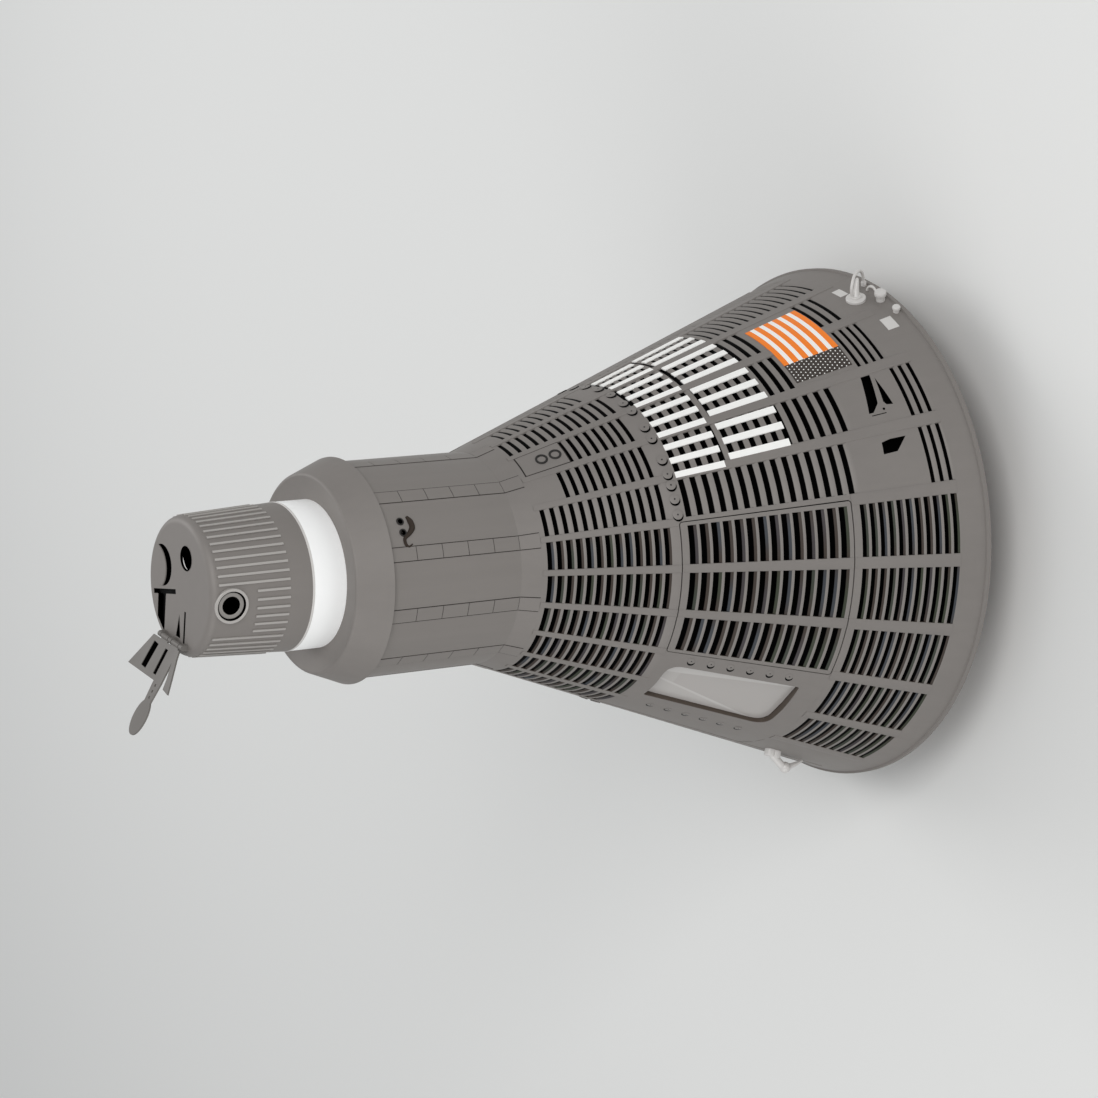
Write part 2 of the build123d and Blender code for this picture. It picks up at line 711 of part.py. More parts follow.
# Scanner: a cup with a raised outer ring, a groove and an inner ring round the opening
groove_r = SCANNER_R - SCANNER_RING
with BuildPart() as scanner:
    with BuildSketch(Plane(scanner_plane.origin, scanner_plane.x_dir, scanner_plane.y_dir * -1)):
        with BuildLine():
            Polyline(
                (0, -SCANNER_DEPTH),
                (SCANNER_R, -SCANNER_DEPTH),
                (SCANNER_R, SCANNER_PROUD),
                (groove_r, SCANNER_PROUD),
                (groove_r, -SCANNER_GROOVE_DEPTH),
                (groove_r - SCANNER_GROOVE, -SCANNER_GROOVE_DEPTH),
                (groove_r - SCANNER_GROOVE, -SCANNER_SET_BACK),
                (SCANNER_BORE_R, -SCANNER_SET_BACK),
                (SCANNER_BORE_R, SCANNER_FLOOR_T - SCANNER_DEPTH),
                (0, SCANNER_FLOOR_T - SCANNER_DEPTH),
                close=True,
            )
        make_face()
    revolve(axis=Axis(scanner_plane.origin, scanner_plane.z_dir))

with BuildPart() as nose_port:
    with BuildSketch(Plane.XY.offset(nose_z - NOSE_PORT_DEPTH)):
        with Locations(NOSE_PORT_XY):
            Circle(NOSE_PORT_R)
    extrude(amount=NOSE_PORT_DEPTH)
    with BuildSketch(Plane.XY.offset(nose_z)):
        with Locations(NOSE_PORT_XY):
            Circle(NOSE_PORT_R - NOSE_PORT_WALL)
    extrude(amount=-NOSE_PORT_DEPTH / 2, mode=Mode.SUBTRACT)

# Mortar cap: fills its round pocket but for a crescent on the hatch side
with BuildPart() as mortar_cap:
    with BuildSketch(Plane.XY.offset(nose_z - NOSE_RECESS_DEPTH)):
        with Locations(CAP_POCKET_XY):
            Circle(CAP_POCKET_R - FIT_GAP)
        with Locations(CAP_EDGE_XY):
            Circle(CAP_EDGE_R, mode=Mode.INTERSECT)
    extrude(amount=NOSE_RECESS_DEPTH + CAP_PROUD)
    chamfer(mortar_cap.edges().group_by(Axis.Z)[-1], CAP_PROUD / 2)

# Hinge of the flap: three lugs and a pin across the nose face
pin_z = nose_z + HINGE_RISE
lug_pitch = BARREL_WIDTH + LUG_WIDTH + 2 * LUG_GAP
lug_ys = (-lug_pitch, 0.0, lug_pitch)
with BuildPart() as flap_bracket:
    for y in lug_ys:
        with BuildSketch(Plane.XZ.offset(-y)):
            with Locations((HINGE_X, pin_z)):
                Circle(BARREL_R)
            with Locations((HINGE_X, nose_z + HINGE_RISE / 2)):
                Rectangle(2 * BARREL_R, HINGE_RISE)
        extrude(amount=LUG_WIDTH / 2, both=True)
    with BuildSketch(Plane.XZ):
        with Locations((HINGE_X, pin_z)):
            Circle(PIN_R)
    extrude(amount=lug_pitch, both=True)

# Flap: a stamped plate with a fan, an arm and a paddle, on two barrels round the pin
flap_tilt = radians(FLAP_TILT)
flap_plane = Plane(
    origin=(HINGE_X, 0, pin_z),
    x_dir=(-cos(flap_tilt), 0, sin(flap_tilt)),
    z_dir=(sin(flap_tilt), 0, cos(flap_tilt)),
)
root_u = BARREL_R + LUG_GAP
arm_v = -ARM_Y
with BuildPart() as flap_plate:
    with BuildSketch(flap_plane) as flap_outline:
        with BuildLine():
            Polyline(
                (root_u, arm_v + ARM_WIDTH / 2),
                (root_u, FAN_ROOT_V),
                (FAN_LENGTH, FAN_TIP_V),
                (FAN_LENGTH, arm_v - ARM_WIDTH / 2),
                (ARM_LENGTH - PADDLE_LENGTH / 2, arm_v - ARM_WIDTH / 3),
                (ARM_LENGTH - PADDLE_LENGTH / 2, arm_v + ARM_WIDTH / 3),
                (FAN_LENGTH, arm_v + ARM_WIDTH / 2),
                close=True,
            )
        make_face()
        with Locations((ARM_LENGTH - PADDLE_LENGTH / 2, arm_v)):
            Ellipse(PADDLE_LENGTH / 2, PADDLE_WIDTH / 2)
        for v, width, turn in FAN_SLOTS:
            with Locations(((root_u + FAN_LENGTH) / 2, v)):
                Rectangle(FAN_SLOT_LENGTH, width, rotation=turn, mode=Mode.SUBTRACT)
        with Locations((FAN_LENGTH + ARM_HOLES * ARM_HOLE_PITCH / 2, arm_v)):
            with GridLocations(ARM_HOLE_PITCH, ARM_HOLE_PITCH, ARM_HOLES, 1):
                Circle(ARM_HOLE_R, mode=Mode.SUBTRACT)
    extrude(amount=FLAP_T / 2, both=True)
    for y in (-lug_pitch / 2, lug_pitch / 2):
        with BuildSketch(Plane.XZ.offset(-y)):
            with Locations((HINGE_X, pin_z)):
                Circle(BARREL_R)
        extrude(amount=BARREL_WIDTH / 2, both=True)
        with BuildSketch(flap_plane):
            with Locations((root_u / 2 + WEB_LAP / 2, -y)):
                Rectangle(root_u + WEB_LAP, BARREL_WIDTH)
        extrude(amount=FLAP_T / 2, both=True)
    with BuildSketch(Plane.XZ):
        with Locations((HINGE_X, pin_z)):
            Circle(PIN_R + FIT_GAP)
    extrude(amount=2 * lug_pitch, both=True, mode=Mode.SUBTRACT)

with BuildPart() as flap_strip:
    strip_v = arm_v + ARM_WIDTH / 2
    with BuildSketch(flap_plane):
        with BuildLine():
            Polyline(*[(u, strip_v + v) for u, v in STRIP_OUTLINE], close=True)
        make_face()
    extrude(amount=FLAP_T / 2, both=True)

# Couch on two beams, instrument panel and side consoles
floor_z = RIM_Z + SKIRT_TOP_S
with BuildPart() as couch:
    with BuildSketch(Plane.XZ) as couch_side:
        with BuildLine():
            Polyline(*[(x, floor_z + COUCH_STAND + z) for x, z in COUCH_SECTION], close=True)
        make_face()
        fillet(couch_side.vertices().sort_by(Axis.Y)[2:], COUCH_ROUND)
    extrude(amount=COUCH_WIDTH / 2, both=True)

with BuildPart() as couch_beams:
    with BuildSketch(Plane.XY.offset(floor_z)):
        with Locations((sum(COUCH_BEAM_X) / 2, 0)):
            with GridLocations(COUCH_BEAM, COUCH_WIDTH - 3 * COUCH_BEAM, 1, 2):
                Rectangle(COUCH_BEAM_X[1] - COUCH_BEAM_X[0], COUCH_BEAM)
    extrude(amount=COUCH_STAND)

cabin_space = cone_plug(SKIRT_TOP_S, CONE_TOP_S, WALL_T + SEAT_GAP)
with BuildPart() as instrument_panel:
    with BuildSketch(Plane.XY.offset(RIM_Z + PANEL_S)):
        with Locations((PANEL_BACK_X, 0)):
            Rectangle(BASE_R, 2 * PANEL_HALF_WIDTH, align=(Align.MIN, Align.CENTER))
    extrude(amount=PANEL_T)
    add(cabin_space, mode=Mode.INTERSECT)

# Consoles along the cabin's sides: name, side of the cabin, top
CONSOLES = {"left": (1, LEFT_CONSOLE_S), "right": (-1, RIGHT_CONSOLE_S)}
consoles = {}
for name, (side, top_s) in CONSOLES.items():
    with BuildPart() as console:
        with BuildSketch(Plane.XY.offset(floor_z)):
            with Locations((0, side * (CONSOLE_INNER_Y + BASE_R / 2))):
                Rectangle(2 * CONSOLE_HALF_LENGTH, BASE_R)
        extrude(amount=top_s - SKIRT_TOP_S)
        add(cabin_space, mode=Mode.INTERSECT)
    consoles[name] = console

# Umbilical on the skirt: two discs, a leaning stem and a stiff hose looped over to a boss at the rim
umbilical_plane = skin_plane(UMBILICAL_PSI, UMBILICAL_S)
hose_end = umbilical_plane.from_local_coords(Vector(*HOSE[-1]))
boss_plane = skin_plane(degrees(atan2(hose_end.X, -hose_end.Y)), hose_end.Z - RIM_Z)
with BuildPart() as umbilical:
    with BuildSketch(umbilical_plane.offset(SEAT_GAP)):
        Circle(UMBILICAL_R)
    extrude(amount=DISC_T)
    with BuildSketch(umbilical_plane.offset(DISC_T)):
        Circle(UPPER_DISC_R)
    extrude(amount=DISC_T)
    with BuildSketch(umbilical_plane.offset(DISC_T)):
        Circle(STEM_ROOT_R)
    with BuildSketch(umbilical_plane.offset(STEM_LENGTH)):
        with Locations(STEM_LEAN):
            Circle(STEM_TIP_R)
    loft()
    with BuildLine():
        hose_points = [umbilical_plane.from_local_coords(Vector(*point)) for point in HOSE]
        hose = FilletPolyline(*hose_points, radius=HOSE_BEND_R)
    with BuildSketch(Plane(origin=hose @ 0, z_dir=hose % 0)):
        RegularPolygon(HOSE_R, HOSE_SIDES)
    sweep()
    with BuildSketch(boss_plane.offset(SEAT_GAP)):
        Circle(BOSS_R)
    extrude(amount=2 * BOSS_R)

# Knobs at the rim: a stem with a wider head
with BuildPart() as rim_knobs:
    for psi, radius, height in KNOBS:
        knob_plane = skin_plane(psi, SHIELD_LIP + radius + KNOB_MARGIN)
        with BuildSketch(knob_plane.offset(SEAT_GAP)):
            Circle(0.75 * radius)
        extrude(amount=height)
        with BuildSketch(knob_plane.offset(height / 2)):
            Circle(radius)
        extrude(amount=height / 2)

# Side strut: a two-lobed foot, a neck out to a ball and a horn back to the skin
strut_plane = facet_plane(STRUT_COLUMN, STRUT_S).offset(SEAT_GAP)
strut_x = -facet_r(STRUT_S) * tan(radians(STRUT_TURN))
neck_root, ball_centre, horn_tip = [
    strut_plane.from_local_coords(Vector(strut_x, y, z)) for y, z in (NECK_ROOT, BALL_PLACE, HORN_TIP)
]
with BuildPart() as side_strut:
    with BuildSketch(strut_plane):
        with Locations((strut_x, 0)):
            with GridLocations(LOBE_PITCH, LOBE_PITCH, 1, 2):
                Circle(LOBE_R)
    extrude(amount=LOBE_T)
    with BuildSketch(Plane(neck_root, z_dir=ball_centre - neck_root)):
        Circle(NECK_R)
    extrude(amount=(ball_centre - neck_root).length)
    with Locations(ball_centre):
        Sphere(BALL_R)
    with BuildSketch(Plane(ball_centre, z_dir=horn_tip - ball_centre)):
        Circle(HORN_ROOT_R)
    with BuildSketch(Plane(horn_tip, z_dir=horn_tip - ball_centre)):
        Circle(HORN_TIP_R)
    loft()

nodes = {
    "heat_shield": heat_shield,
    "skirt": skirt,
    "aft_bulkhead": aft_bulkhead,
    "forward_bulkhead": forward_bulkhead,
    "outer_wall": outer_wall,
    "pressure_wall": pressure_wall,
    "shingles_aft": shingles_aft,
    "shingles_mid": shingles_mid,
    "shingles_forward": shingles_forward,
    "window_panel": window_panel,
    "port_panel": port_panel,
    "strut_panel": strut_panel,
    "skirt_panel": skirt_panel,
    "rails": rails,
    "window_frame": window_frame,
    "window_pane": window_pane,
    "hatch_shingles": hatch_shingles,
    "hatch_rails": hatch_rails,
    "hatch_panel": hatch_panel,
    "hatch_plug": hatch_plug,
    "thruster_panel": thruster_panel,
    "recovery_cylinder": recovery_cylinder,
    "cylinder_strips": cylinder_strips,
    "flare": flare,
    "antenna_band": antenna_band,
    "canister": canister,
    "scanner": scanner,
    "nose_port": nose_port,
    "mortar_cap": mortar_cap,
    "flap_bracket": flap_bracket,
    "flap_plate": flap_plate,
    "flap_strip": flap_strip,
    "couch": couch,
    "couch_beams": couch_beams,
    "instrument_panel": instrument_panel,
    "left_console": consoles["left"],
    "right_console": consoles["right"],
    "umbilical": umbilical,
    "rim_knobs": rim_knobs,
    "side_strut": side_strut,
}
for name, piece in nodes.items():
    piece.part.label = name
    export_step(piece.part, f"parts/{name}.step")
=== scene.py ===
"""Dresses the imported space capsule: its finishes, curved louvred skin, fittings, cabin and studio.

Lengths are metres in the part's own frame: +Z from the heat shield to the nose, the hatch at -Y. A place on
the skin is given by its angle psi in degrees, from -Y towards +X, and its height s above the rim plane.
"""

import json
import logging
import math
from dataclasses import dataclass, field
from enum import Enum

import bmesh
import bpy
import numpy as np
from mathutils import Matrix, Vector

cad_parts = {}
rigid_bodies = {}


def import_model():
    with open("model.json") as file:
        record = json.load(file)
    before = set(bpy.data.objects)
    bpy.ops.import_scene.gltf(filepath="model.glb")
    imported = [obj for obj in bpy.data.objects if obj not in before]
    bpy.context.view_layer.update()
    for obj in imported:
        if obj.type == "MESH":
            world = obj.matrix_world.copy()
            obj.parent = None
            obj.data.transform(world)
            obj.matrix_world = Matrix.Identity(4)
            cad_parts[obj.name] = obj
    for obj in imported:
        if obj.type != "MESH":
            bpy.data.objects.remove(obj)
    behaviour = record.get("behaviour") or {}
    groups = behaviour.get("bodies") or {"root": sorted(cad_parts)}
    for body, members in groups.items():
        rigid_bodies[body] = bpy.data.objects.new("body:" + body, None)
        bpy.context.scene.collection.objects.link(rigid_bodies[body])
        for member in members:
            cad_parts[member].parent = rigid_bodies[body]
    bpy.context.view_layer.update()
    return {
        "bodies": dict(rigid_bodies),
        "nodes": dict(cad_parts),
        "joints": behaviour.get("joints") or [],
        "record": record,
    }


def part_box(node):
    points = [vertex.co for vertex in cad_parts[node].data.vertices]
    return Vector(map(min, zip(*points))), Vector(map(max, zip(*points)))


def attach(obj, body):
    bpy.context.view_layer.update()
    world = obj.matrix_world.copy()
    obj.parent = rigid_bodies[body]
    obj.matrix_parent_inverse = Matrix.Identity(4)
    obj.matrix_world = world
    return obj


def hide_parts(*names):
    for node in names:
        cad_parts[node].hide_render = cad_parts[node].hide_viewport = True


log = logging.getLogger("capsule")

Socket = bpy.types.NodeSocket
Node = bpy.types.Node
Colour = tuple[int, int, int]
Pair = tuple[float, float]
Triple = tuple[float, float, float]
Span = tuple[float, float, float, float]

MM = 0.001
MERGE_DISTANCE = 1e-6
SHARP_ANGLE = math.radians(32)

# Sizes that several sub-assemblies share, in metres and degrees, with the slope in radians
SECTORS = 22
SECTOR = 360 / SECTORS
COLUMNS = range(-10, 12)
SEAM = 0.3
TIGHT_SEAM = 0.05
SHIELD_LIP = 0.020
CONE_SLOPE = math.radians(20)
SKIRT_TOP = 0.105
HATCH_AFT = 0.470
HATCH_TOP = 1.055
HATCH_HALF = 1.5 * SECTOR
HATCH_GAP = 0.0035
COLLAR = 0.070
PLATE_FOOT = -0.016
TRIM_FOOT = -0.001
MARK_FOOT = -0.002

# Height of a strip's long edges, as a share of its face's
STRIP_EDGE = 0.3

# Colours that several finishes share
BLACK: Colour = (3, 3, 3)
GREY: Colour = (126, 121, 117)
DARK: Colour = (46, 42, 40)
DARK_LIP: Colour = (30, 27, 25)
PALE: Colour = (208, 205, 202)
CHAR: Colour = (52, 44, 38)


def linear(colour: Colour) -> Span:
    """Turns sRGB bytes into a linear colour: a straight foot, then a power of 2.4.

    Args:
        colour: Red, green and blue from 0 to 255.

    Returns:
        Linear red, green and blue, with full alpha.
    """
    c = np.array(colour) / 255
    c = np.where(c <= 0.04045, c / 12.92, ((c + 0.055) / 1.055) ** 2.4)
    return (float(c[0]), float(c[1]), float(c[2]), 1.0)


def tints(*colours: Colour) -> np.ndarray:
    """Returns colours as rows of linear values."""
    return np.array([linear(c) for c in colours])


def shader_of(owner: bpy.types.Material | bpy.types.World, kind: str) -> Node:
    """Turns an owner's nodes on and returns its shader of a kind."""
    owner.use_nodes = True
    return next(n for n in owner.node_tree.nodes if n.type == kind)


class Graph:
    """Short-hand for wiring one node tree."""

    def __init__(self, tree: bpy.types.NodeTree) -> None:
        """Keeps the tree that the nodes go into."""
        self.tree = tree

    def node(self, kind: str, **settings: object) -> Node:
        """Adds a node.

        Args:
            kind: Blender's name for the kind of node.
            **settings: Properties to set on it.

        Returns:
            The new node.
        """
        made = self.tree.nodes.new(kind)
        for name, value in settings.items():
            setattr(made, name, value)
        return made

    def put(self, socket: Socket, value: object) -> None:
        """Feeds an input.

        Args:
            socket: The input.
            value: Another socket to link to it, or a constant.
        """
        if isinstance(value, Socket):
            self.tree.links.new(value, socket)
        else:
            socket.default_value = value

    def math(self, operation: str, *values: object) -> Socket:
        """Adds a math node.

        Args:
            operation: Blender's name for the sum.
            *values: Sockets or numbers, in the order of its inputs.

        Returns:
            The result.
        """
        made = self.node("ShaderNodeMath", operation=operation)
        for socket, value in zip(made.inputs, values):
            self.put(socket, value)
        return made.outputs[0]

    def square_sum(self, a: Socket, b: Socket) -> Socket:
        """Returns a squared plus b squared."""
        return self.math("MULTIPLY_ADD", a, a, self.math("MULTIPLY", b, b))

    def between(self, value: Socket, low: float, high: float) -> Socket:
        """Returns 1 where a value lies between two limits, and 0 elsewhere."""
        above = self.math("GREATER_THAN", value, low)
        return self.math("MULTIPLY", above, self.math("LESS_THAN", value, high))

    def ramp(self, value: Socket, low: float, high: float) -> Socket:
        """Steps smoothly from 0 to 1.

        Args:
            value: What is compared.
            low: The value up to which the step is 0.
            high: The value from which it is 1.

        Returns:
            The step.
        """
        made = self.node("ShaderNodeMapRange", interpolation_type="SMOOTHSTEP")
        self.put(made.inputs["Value"], value)
        made.inputs["From Min"].default_value = low
        made.inputs["From Max"].default_value = high
        return made.outputs[0]

    def mix(self, factor: object, a: object, b: object) -> Socket:
        """Mixes two colours.

        Args:
            factor: Share of the second colour.
            a: First colour.
            b: Second colour.

        Returns:
            The mixed colour.
        """
        made = self.node("ShaderNodeMix", data_type="RGBA")
        self.put(made.inputs["Factor"], factor)
        self.put(made.inputs["A"], a)
        self.put(made.inputs["B"], b)
        return next(s for s in made.outputs if s.type == "RGBA")

    def noise(self, vector: object, scale: float, detail: float) -> Socket:
        """Adds noise.

        Args:
            vector: Place at which it is read.
            scale: How fine it is.
            detail: Number of finer layers.

        Returns:
            A value from 0 to 1.
        """
        made = self.node("ShaderNodeTexNoise")
        self.put(made.inputs["Vector"], vector)
        made.inputs["Scale"].default_value = scale
        made.inputs["Detail"].default_value = detail
        return made.outputs[0]

    def stretched(self, vector: object, scale: Triple) -> Socket:
        """Stretches the axes of a place.

        Args:
            vector: The place.
            scale: Stretch along x, y and z.

        Returns:
            The stretched place.
        """
        made = self.node("ShaderNodeMapping")
        self.put(made.inputs["Vector"], vector)
        made.inputs["Scale"].default_value = scale
        return made.outputs[0]

    def place(self) -> Socket:
        """Returns the object coordinates."""
        return self.node("ShaderNodeTexCoord").outputs["Object"]

    def axes(self) -> tuple[Socket, ...]:
        """Splits the object coordinates.

        Returns:
            x, y and z as separate values.
        """
        split = self.node("ShaderNodeSeparateXYZ")
        self.put(split.inputs[0], self.place())
        return tuple(split.outputs)

    def attribute(self, name: str, output: str = "Fac") -> Socket:
        """Returns a value that the mesh holds at its vertices."""
        return self.node("ShaderNodeAttribute", attribute_name=name).outputs[output]


@dataclass
class Groups:
    """The node groups that several finishes share, each made once.

    broad and grain are scales of noise, streak stretches it along the axis. mask, slope and opening are the
    values between which a ramp rises; slope and opening are louvre depths, at which the slope's painted shade
    and the opening's black painted shade come in.
    """

    broad: float = 2.4
    streak: Triple = (26.0, 26.0, 1.1)
    grain: float = 420.0
    mask: Pair = (0.35, 0.7)
    slope: Pair = (0.0, 0.05)
    opening: Pair = (0.32, 0.39)

    def __post_init__(self) -> None:
        """Makes every group."""
        self.weather = self.make_weather()
        self.louvre = self.make_louvre()

    @staticmethod
    def start(name: str, inputs: dict[str, str], outputs: dict[str, str]) -> tuple[Graph, object, object]:
        """Opens a new group.

        Args:
            name: The group's name.
            inputs: Kind of each input socket by name.
            outputs: Kind of each output socket by name.

        Returns:
            The graph to wire, the group's input sockets and its output sockets.
        """
        tree = bpy.data.node_groups.new(name, "ShaderNodeTree")
        for way, sockets in (("INPUT", inputs), ("OUTPUT", outputs)):
            for socket, kind in sockets.items():
                tree.interface.new_socket(socket, in_out=way, socket_type=kind)
        graph = Graph(tree)
        entry = graph.node("NodeGroupInput").outputs
        return graph, entry, graph.node("NodeGroupOutput").inputs

    def make_weather(self) -> bpy.types.NodeTree:
        """Makes the weathering: mottling, streaks along the axis and fine grain, from noise at three scales.

        Returns:
            The group's tree.
        """
        graph, entry, leave = self.start(
            "weathering",
            {"Colour": "NodeSocketColor", "Mottle": "NodeSocketFloat", "Streak": "NodeSocketFloat"},
            {"Colour": "NodeSocketColor", "Mask": "NodeSocketFloat", "Grain": "NodeSocketFloat"},
        )
        place = graph.place()
        broad = graph.noise(place, self.broad, detail=6.0)
        streak = graph.noise(graph.stretched(place, self.streak), 1.0, detail=4.0)
        value = 1.0
        for noise, strength in ((broad, entry["Mottle"]), (streak, entry["Streak"])):
            shift = graph.math("MULTIPLY", graph.math("SUBTRACT", noise, 0.5), strength)
            value = graph.math("ADD", value, shift)
        tone = graph.node("ShaderNodeHueSaturation")
        graph.put(tone.inputs["Value"], value)
        graph.put(tone.inputs["Color"], entry["Colour"])
        graph.put(leave["Colour"], tone.outputs[0])
        graph.put(leave["Mask"], graph.ramp(broad, *self.mask))
        graph.put(leave["Grain"], graph.noise(place, self.grain, detail=2.0))
        return graph.tree

    def make_louvre(self) -> bpy.types.NodeTree:
        """Makes the group that paints shade on a louvre by depth: bare crest, shaded slope, black opening.

        Returns:
            The group's tree.
        """
        graph, entry, leave = self.start(
            "louvre_depth",
            {"Colour": "NodeSocketColor", "Tint": "NodeSocketColor", "Depth": "NodeSocketFloat"},
            {"Colour": "NodeSocketColor", "Opening": "NodeSocketFloat"},
        )
        # The slope takes a tint of painted shade and reflection, and the opening is painted black as shade
        slope = graph.mix(graph.ramp(entry["Depth"], *self.slope), entry["Colour"], entry["Tint"])
        opening = graph.ramp(entry["Depth"], *self.opening)
        graph.put(leave["Colour"], graph.mix(opening, slope, linear(BLACK)))
        graph.put(leave["Opening"], opening)
        return graph.tree


class Bench(Graph):
    """A material in the making: its node tree, its shader and the shared groups."""

    def __init__(self, made: bpy.types.Material, groups: Groups) -> None:
        """Opens the material's node tree.

        Args:
            made: The material.
            groups: The shared node groups.
        """
        self.shader = shader_of(made, "BSDF_PRINCIPLED")
        self.groups = groups
        super().__init__(made.node_tree)

    def feed(self, name: str, value: object) -> None:
        """Feeds an input of the shader from a socket, or sets it to a constant."""
        self.put(self.shader.inputs[name], value)

    def dull(self, mask: Socket) -> None:
        """Makes black metallic where a mask is 1, which takes the shine off the black of painted shade."""
        plain = self.shader.inputs["Metallic"].default_value
        self.feed("Metallic", self.math("MULTIPLY_ADD", mask, 1.0 - plain, plain))


@dataclass(frozen=True)
class Finish:
    """A plain finish with weathering.

    mottle and streak are how much the colour varies, spread how far the roughness goes to either side, grain
    the height of the fine bump in metres and bump its strength.
    """

    name: str
    colour: Colour
    roughness: float
    metallic: float = 0.0
    mottle: float = 0.10
    streak: float = 0.06
    spread: float = 0.06
    grain: float = 0.0002
    bump: float = 0.6
    specular: float = 0.5
    slot: str = "skin"

    def shade(self, bench: Bench) -> None:
        """Wires the weathered colour, roughness and grain to the shader.

        Args:
            bench: The material in the making.
        """
        weather = self.weather(bench)
        bench.feed("Base Color", weather.outputs["Colour"])
        self.polish(bench, weather)

    def weather(self, bench: Bench) -> Node:
        """Places the weathering group with this finish's values.

        Args:
            bench: The material in the making.

        Returns:
            The group's node.
        """
        made = bench.node("ShaderNodeGroup", node_tree=bench.groups.weather)
        made.inputs["Colour"].default_value = linear(self.colour)
        made.inputs["Mottle"].default_value = self.mottle
        made.inputs["Streak"].default_value = self.streak
        return made

    def polish(self, bench: Bench, weather: Node) -> None:
        """Varies the roughness and adds the grain as bump.

        Args:
            bench: The material in the making.
            weather: Its weathering group.
        """
        low = self.roughness - self.spread
        bench.feed("Roughness", bench.math("MULTIPLY_ADD", weather.outputs["Mask"], 2 * self.spread, low))
        bump = bench.node("ShaderNodeBump")
        bump.inputs["Distance"].default_value = self.grain
        bump.inputs["Strength"].default_value = self.bump
        bench.put(bump.inputs["Height"], weather.outputs["Grain"])
        bench.feed("Normal", bump.outputs[0])

    def material(self, groups: Groups) -> bpy.types.Material:
        """Makes the finish's material.

        Args:
            groups: The shared node groups.

        Returns:
            The new material.
        """
        made = bpy.data.materials.new(self.name)
        bench = Bench(made, groups)
        bench.feed("Metallic", self.metallic)
        bench.feed("Specular IOR Level", self.specular)
        self.shade(bench)
        return made


@dataclass(frozen=True)
class SkinFinish(Finish):
    """The capsule's outer skin: weathered alloy, with shade painted into the louvres by depth."""

    def shade(self, bench: Bench) -> None:
        """Lays the louvres' painted shade, tinted slopes and black openings, over the weathered colour.

        Args:
            bench: The material in the making.
        """
        weather = self.weather(bench)
        louvre = bench.node("ShaderNodeGroup", node_tree=bench.groups.louvre)
        bench.put(louvre.inputs["Colour"], weather.outputs["Colour"])
        bench.put(louvre.inputs["Tint"], bench.attribute("tint", "Color"))
        bench.put(louvre.inputs["Depth"], bench.attribute("depth"))
        bench.feed("Base Color", louvre.outputs["Colour"])
        self.polish(bench, weather)
        bench.dull(louvre.outputs["Opening"])


@dataclass(frozen=True)
class PatchFinish(Finish):
    """Painted patch: stripes across the axis, and a dotted dark band along one side.

    band is the band's share of the patch's width, stripe the share of a stripe's step in the main colour, and
    dot the radius of a dot as a share of the step between dots.
    """

    stripes: int = 11
    stripe: float = 0.56
    band: float = 0.26
    columns: float = 6.0
    rows: float = 15.0
    dot: float = 0.17
    pale: Colour = (244, 243, 240)
    dark: Colour = CHAR

    def shade(self, bench: Bench) -> None:
        """Works out stripes and dots, each row of dots half a step on, from the place across and along.

        Args:
            bench: The material in the making.
        """
        across, along = bench.attribute("across"), bench.attribute("along")
        pale = linear(self.pale)
        step = bench.math("FRACT", bench.math("MULTIPLY", along, self.stripes / 2))
        striped = bench.mix(bench.math("GREATER_THAN", step, self.stripe), linear(self.colour), pale)
        row = bench.math("MULTIPLY", along, self.rows)
        shift = bench.math("MULTIPLY", bench.math("FLOOR", row), 0.5)
        column = bench.math("MULTIPLY_ADD", across, self.columns / self.band, shift)
        dx, dy = (bench.math("SUBTRACT", bench.math("FRACT", v), 0.5) for v in (column, row))
        dot = bench.math("LESS_THAN", bench.square_sum(dx, dy), self.dot**2)
        dotted = bench.mix(dot, linear(self.dark), pale)
        weather = self.weather(bench)
        in_band = bench.math("LESS_THAN", across, self.band)
        bench.put(weather.inputs["Colour"], bench.mix(in_band, striped, dotted))
        bench.feed("Base Color", weather.outputs["Colour"])
        self.polish(bench, weather)


@dataclass(frozen=True)
class NoseFinish(Finish):
    """The canister's finish: black painted as shade in the recesses of the nose face, pale on the ribs.

    face is the height of the nose face, sink how far below it a recess begins, and reach the radius inside
    which sunk faces are painted black as shade. The barrel's radius is girth at the height lip, and shrinks
    by taper for each metre above it; rise is how far outside the barrel a rib begins.
    """

    face: float = 0.0
    sink: float = 0.001
    reach: float = 0.208
    lip: float = 0.0
    girth: float = 1.0
    taper: float = 0.0
    rise: float = 0.0007
    rib: Colour = (168, 164, 160)

    def shade(self, bench: Bench) -> None:
        """Finds ribs by the radius against the barrel's, and recesses, painted black as shade, by the height.

        Args:
            bench: The material in the making.
        """
        weather = self.weather(bench)
        x, y, z = bench.axes()
        radius = bench.math("SQRT", bench.square_sum(x, y))
        barrel = bench.math("MULTIPLY_ADD", z, -self.taper, self.girth + self.taper * self.lip)
        rib = bench.math("GREATER_THAN", bench.math("SUBTRACT", radius, barrel), self.rise)
        # The nose face's recesses are painted black as shade
        below = bench.math("LESS_THAN", z, self.face - self.sink)
        sunk = bench.math("MULTIPLY", below, bench.math("LESS_THAN", radius, self.reach))
        colour = bench.mix(rib, weather.outputs["Colour"], linear(self.rib))
        bench.feed("Base Color", bench.mix(sunk, colour, linear(BLACK)))
        self.polish(bench, weather)
        bench.dull(sunk)


@dataclass(frozen=True)
class TintFinish(Finish):
    """A finish in the tint that the mesh holds, black where its depth is 1, which paints shade and shadow."""

    def shade(self, bench: Bench) -> None:
        """Weathers the tint and mixes it to black by the depth, which paints shade and shadow.

        Args:
            bench: The material in the making.
        """
        weather = self.weather(bench)
        bench.put(weather.inputs["Colour"], bench.attribute("tint", "Color"))
        depth = bench.attribute("depth")
        bench.feed("Base Color", bench.mix(depth, weather.outputs["Colour"], linear(BLACK)))
        self.polish(bench, weather)
        bench.dull(depth)


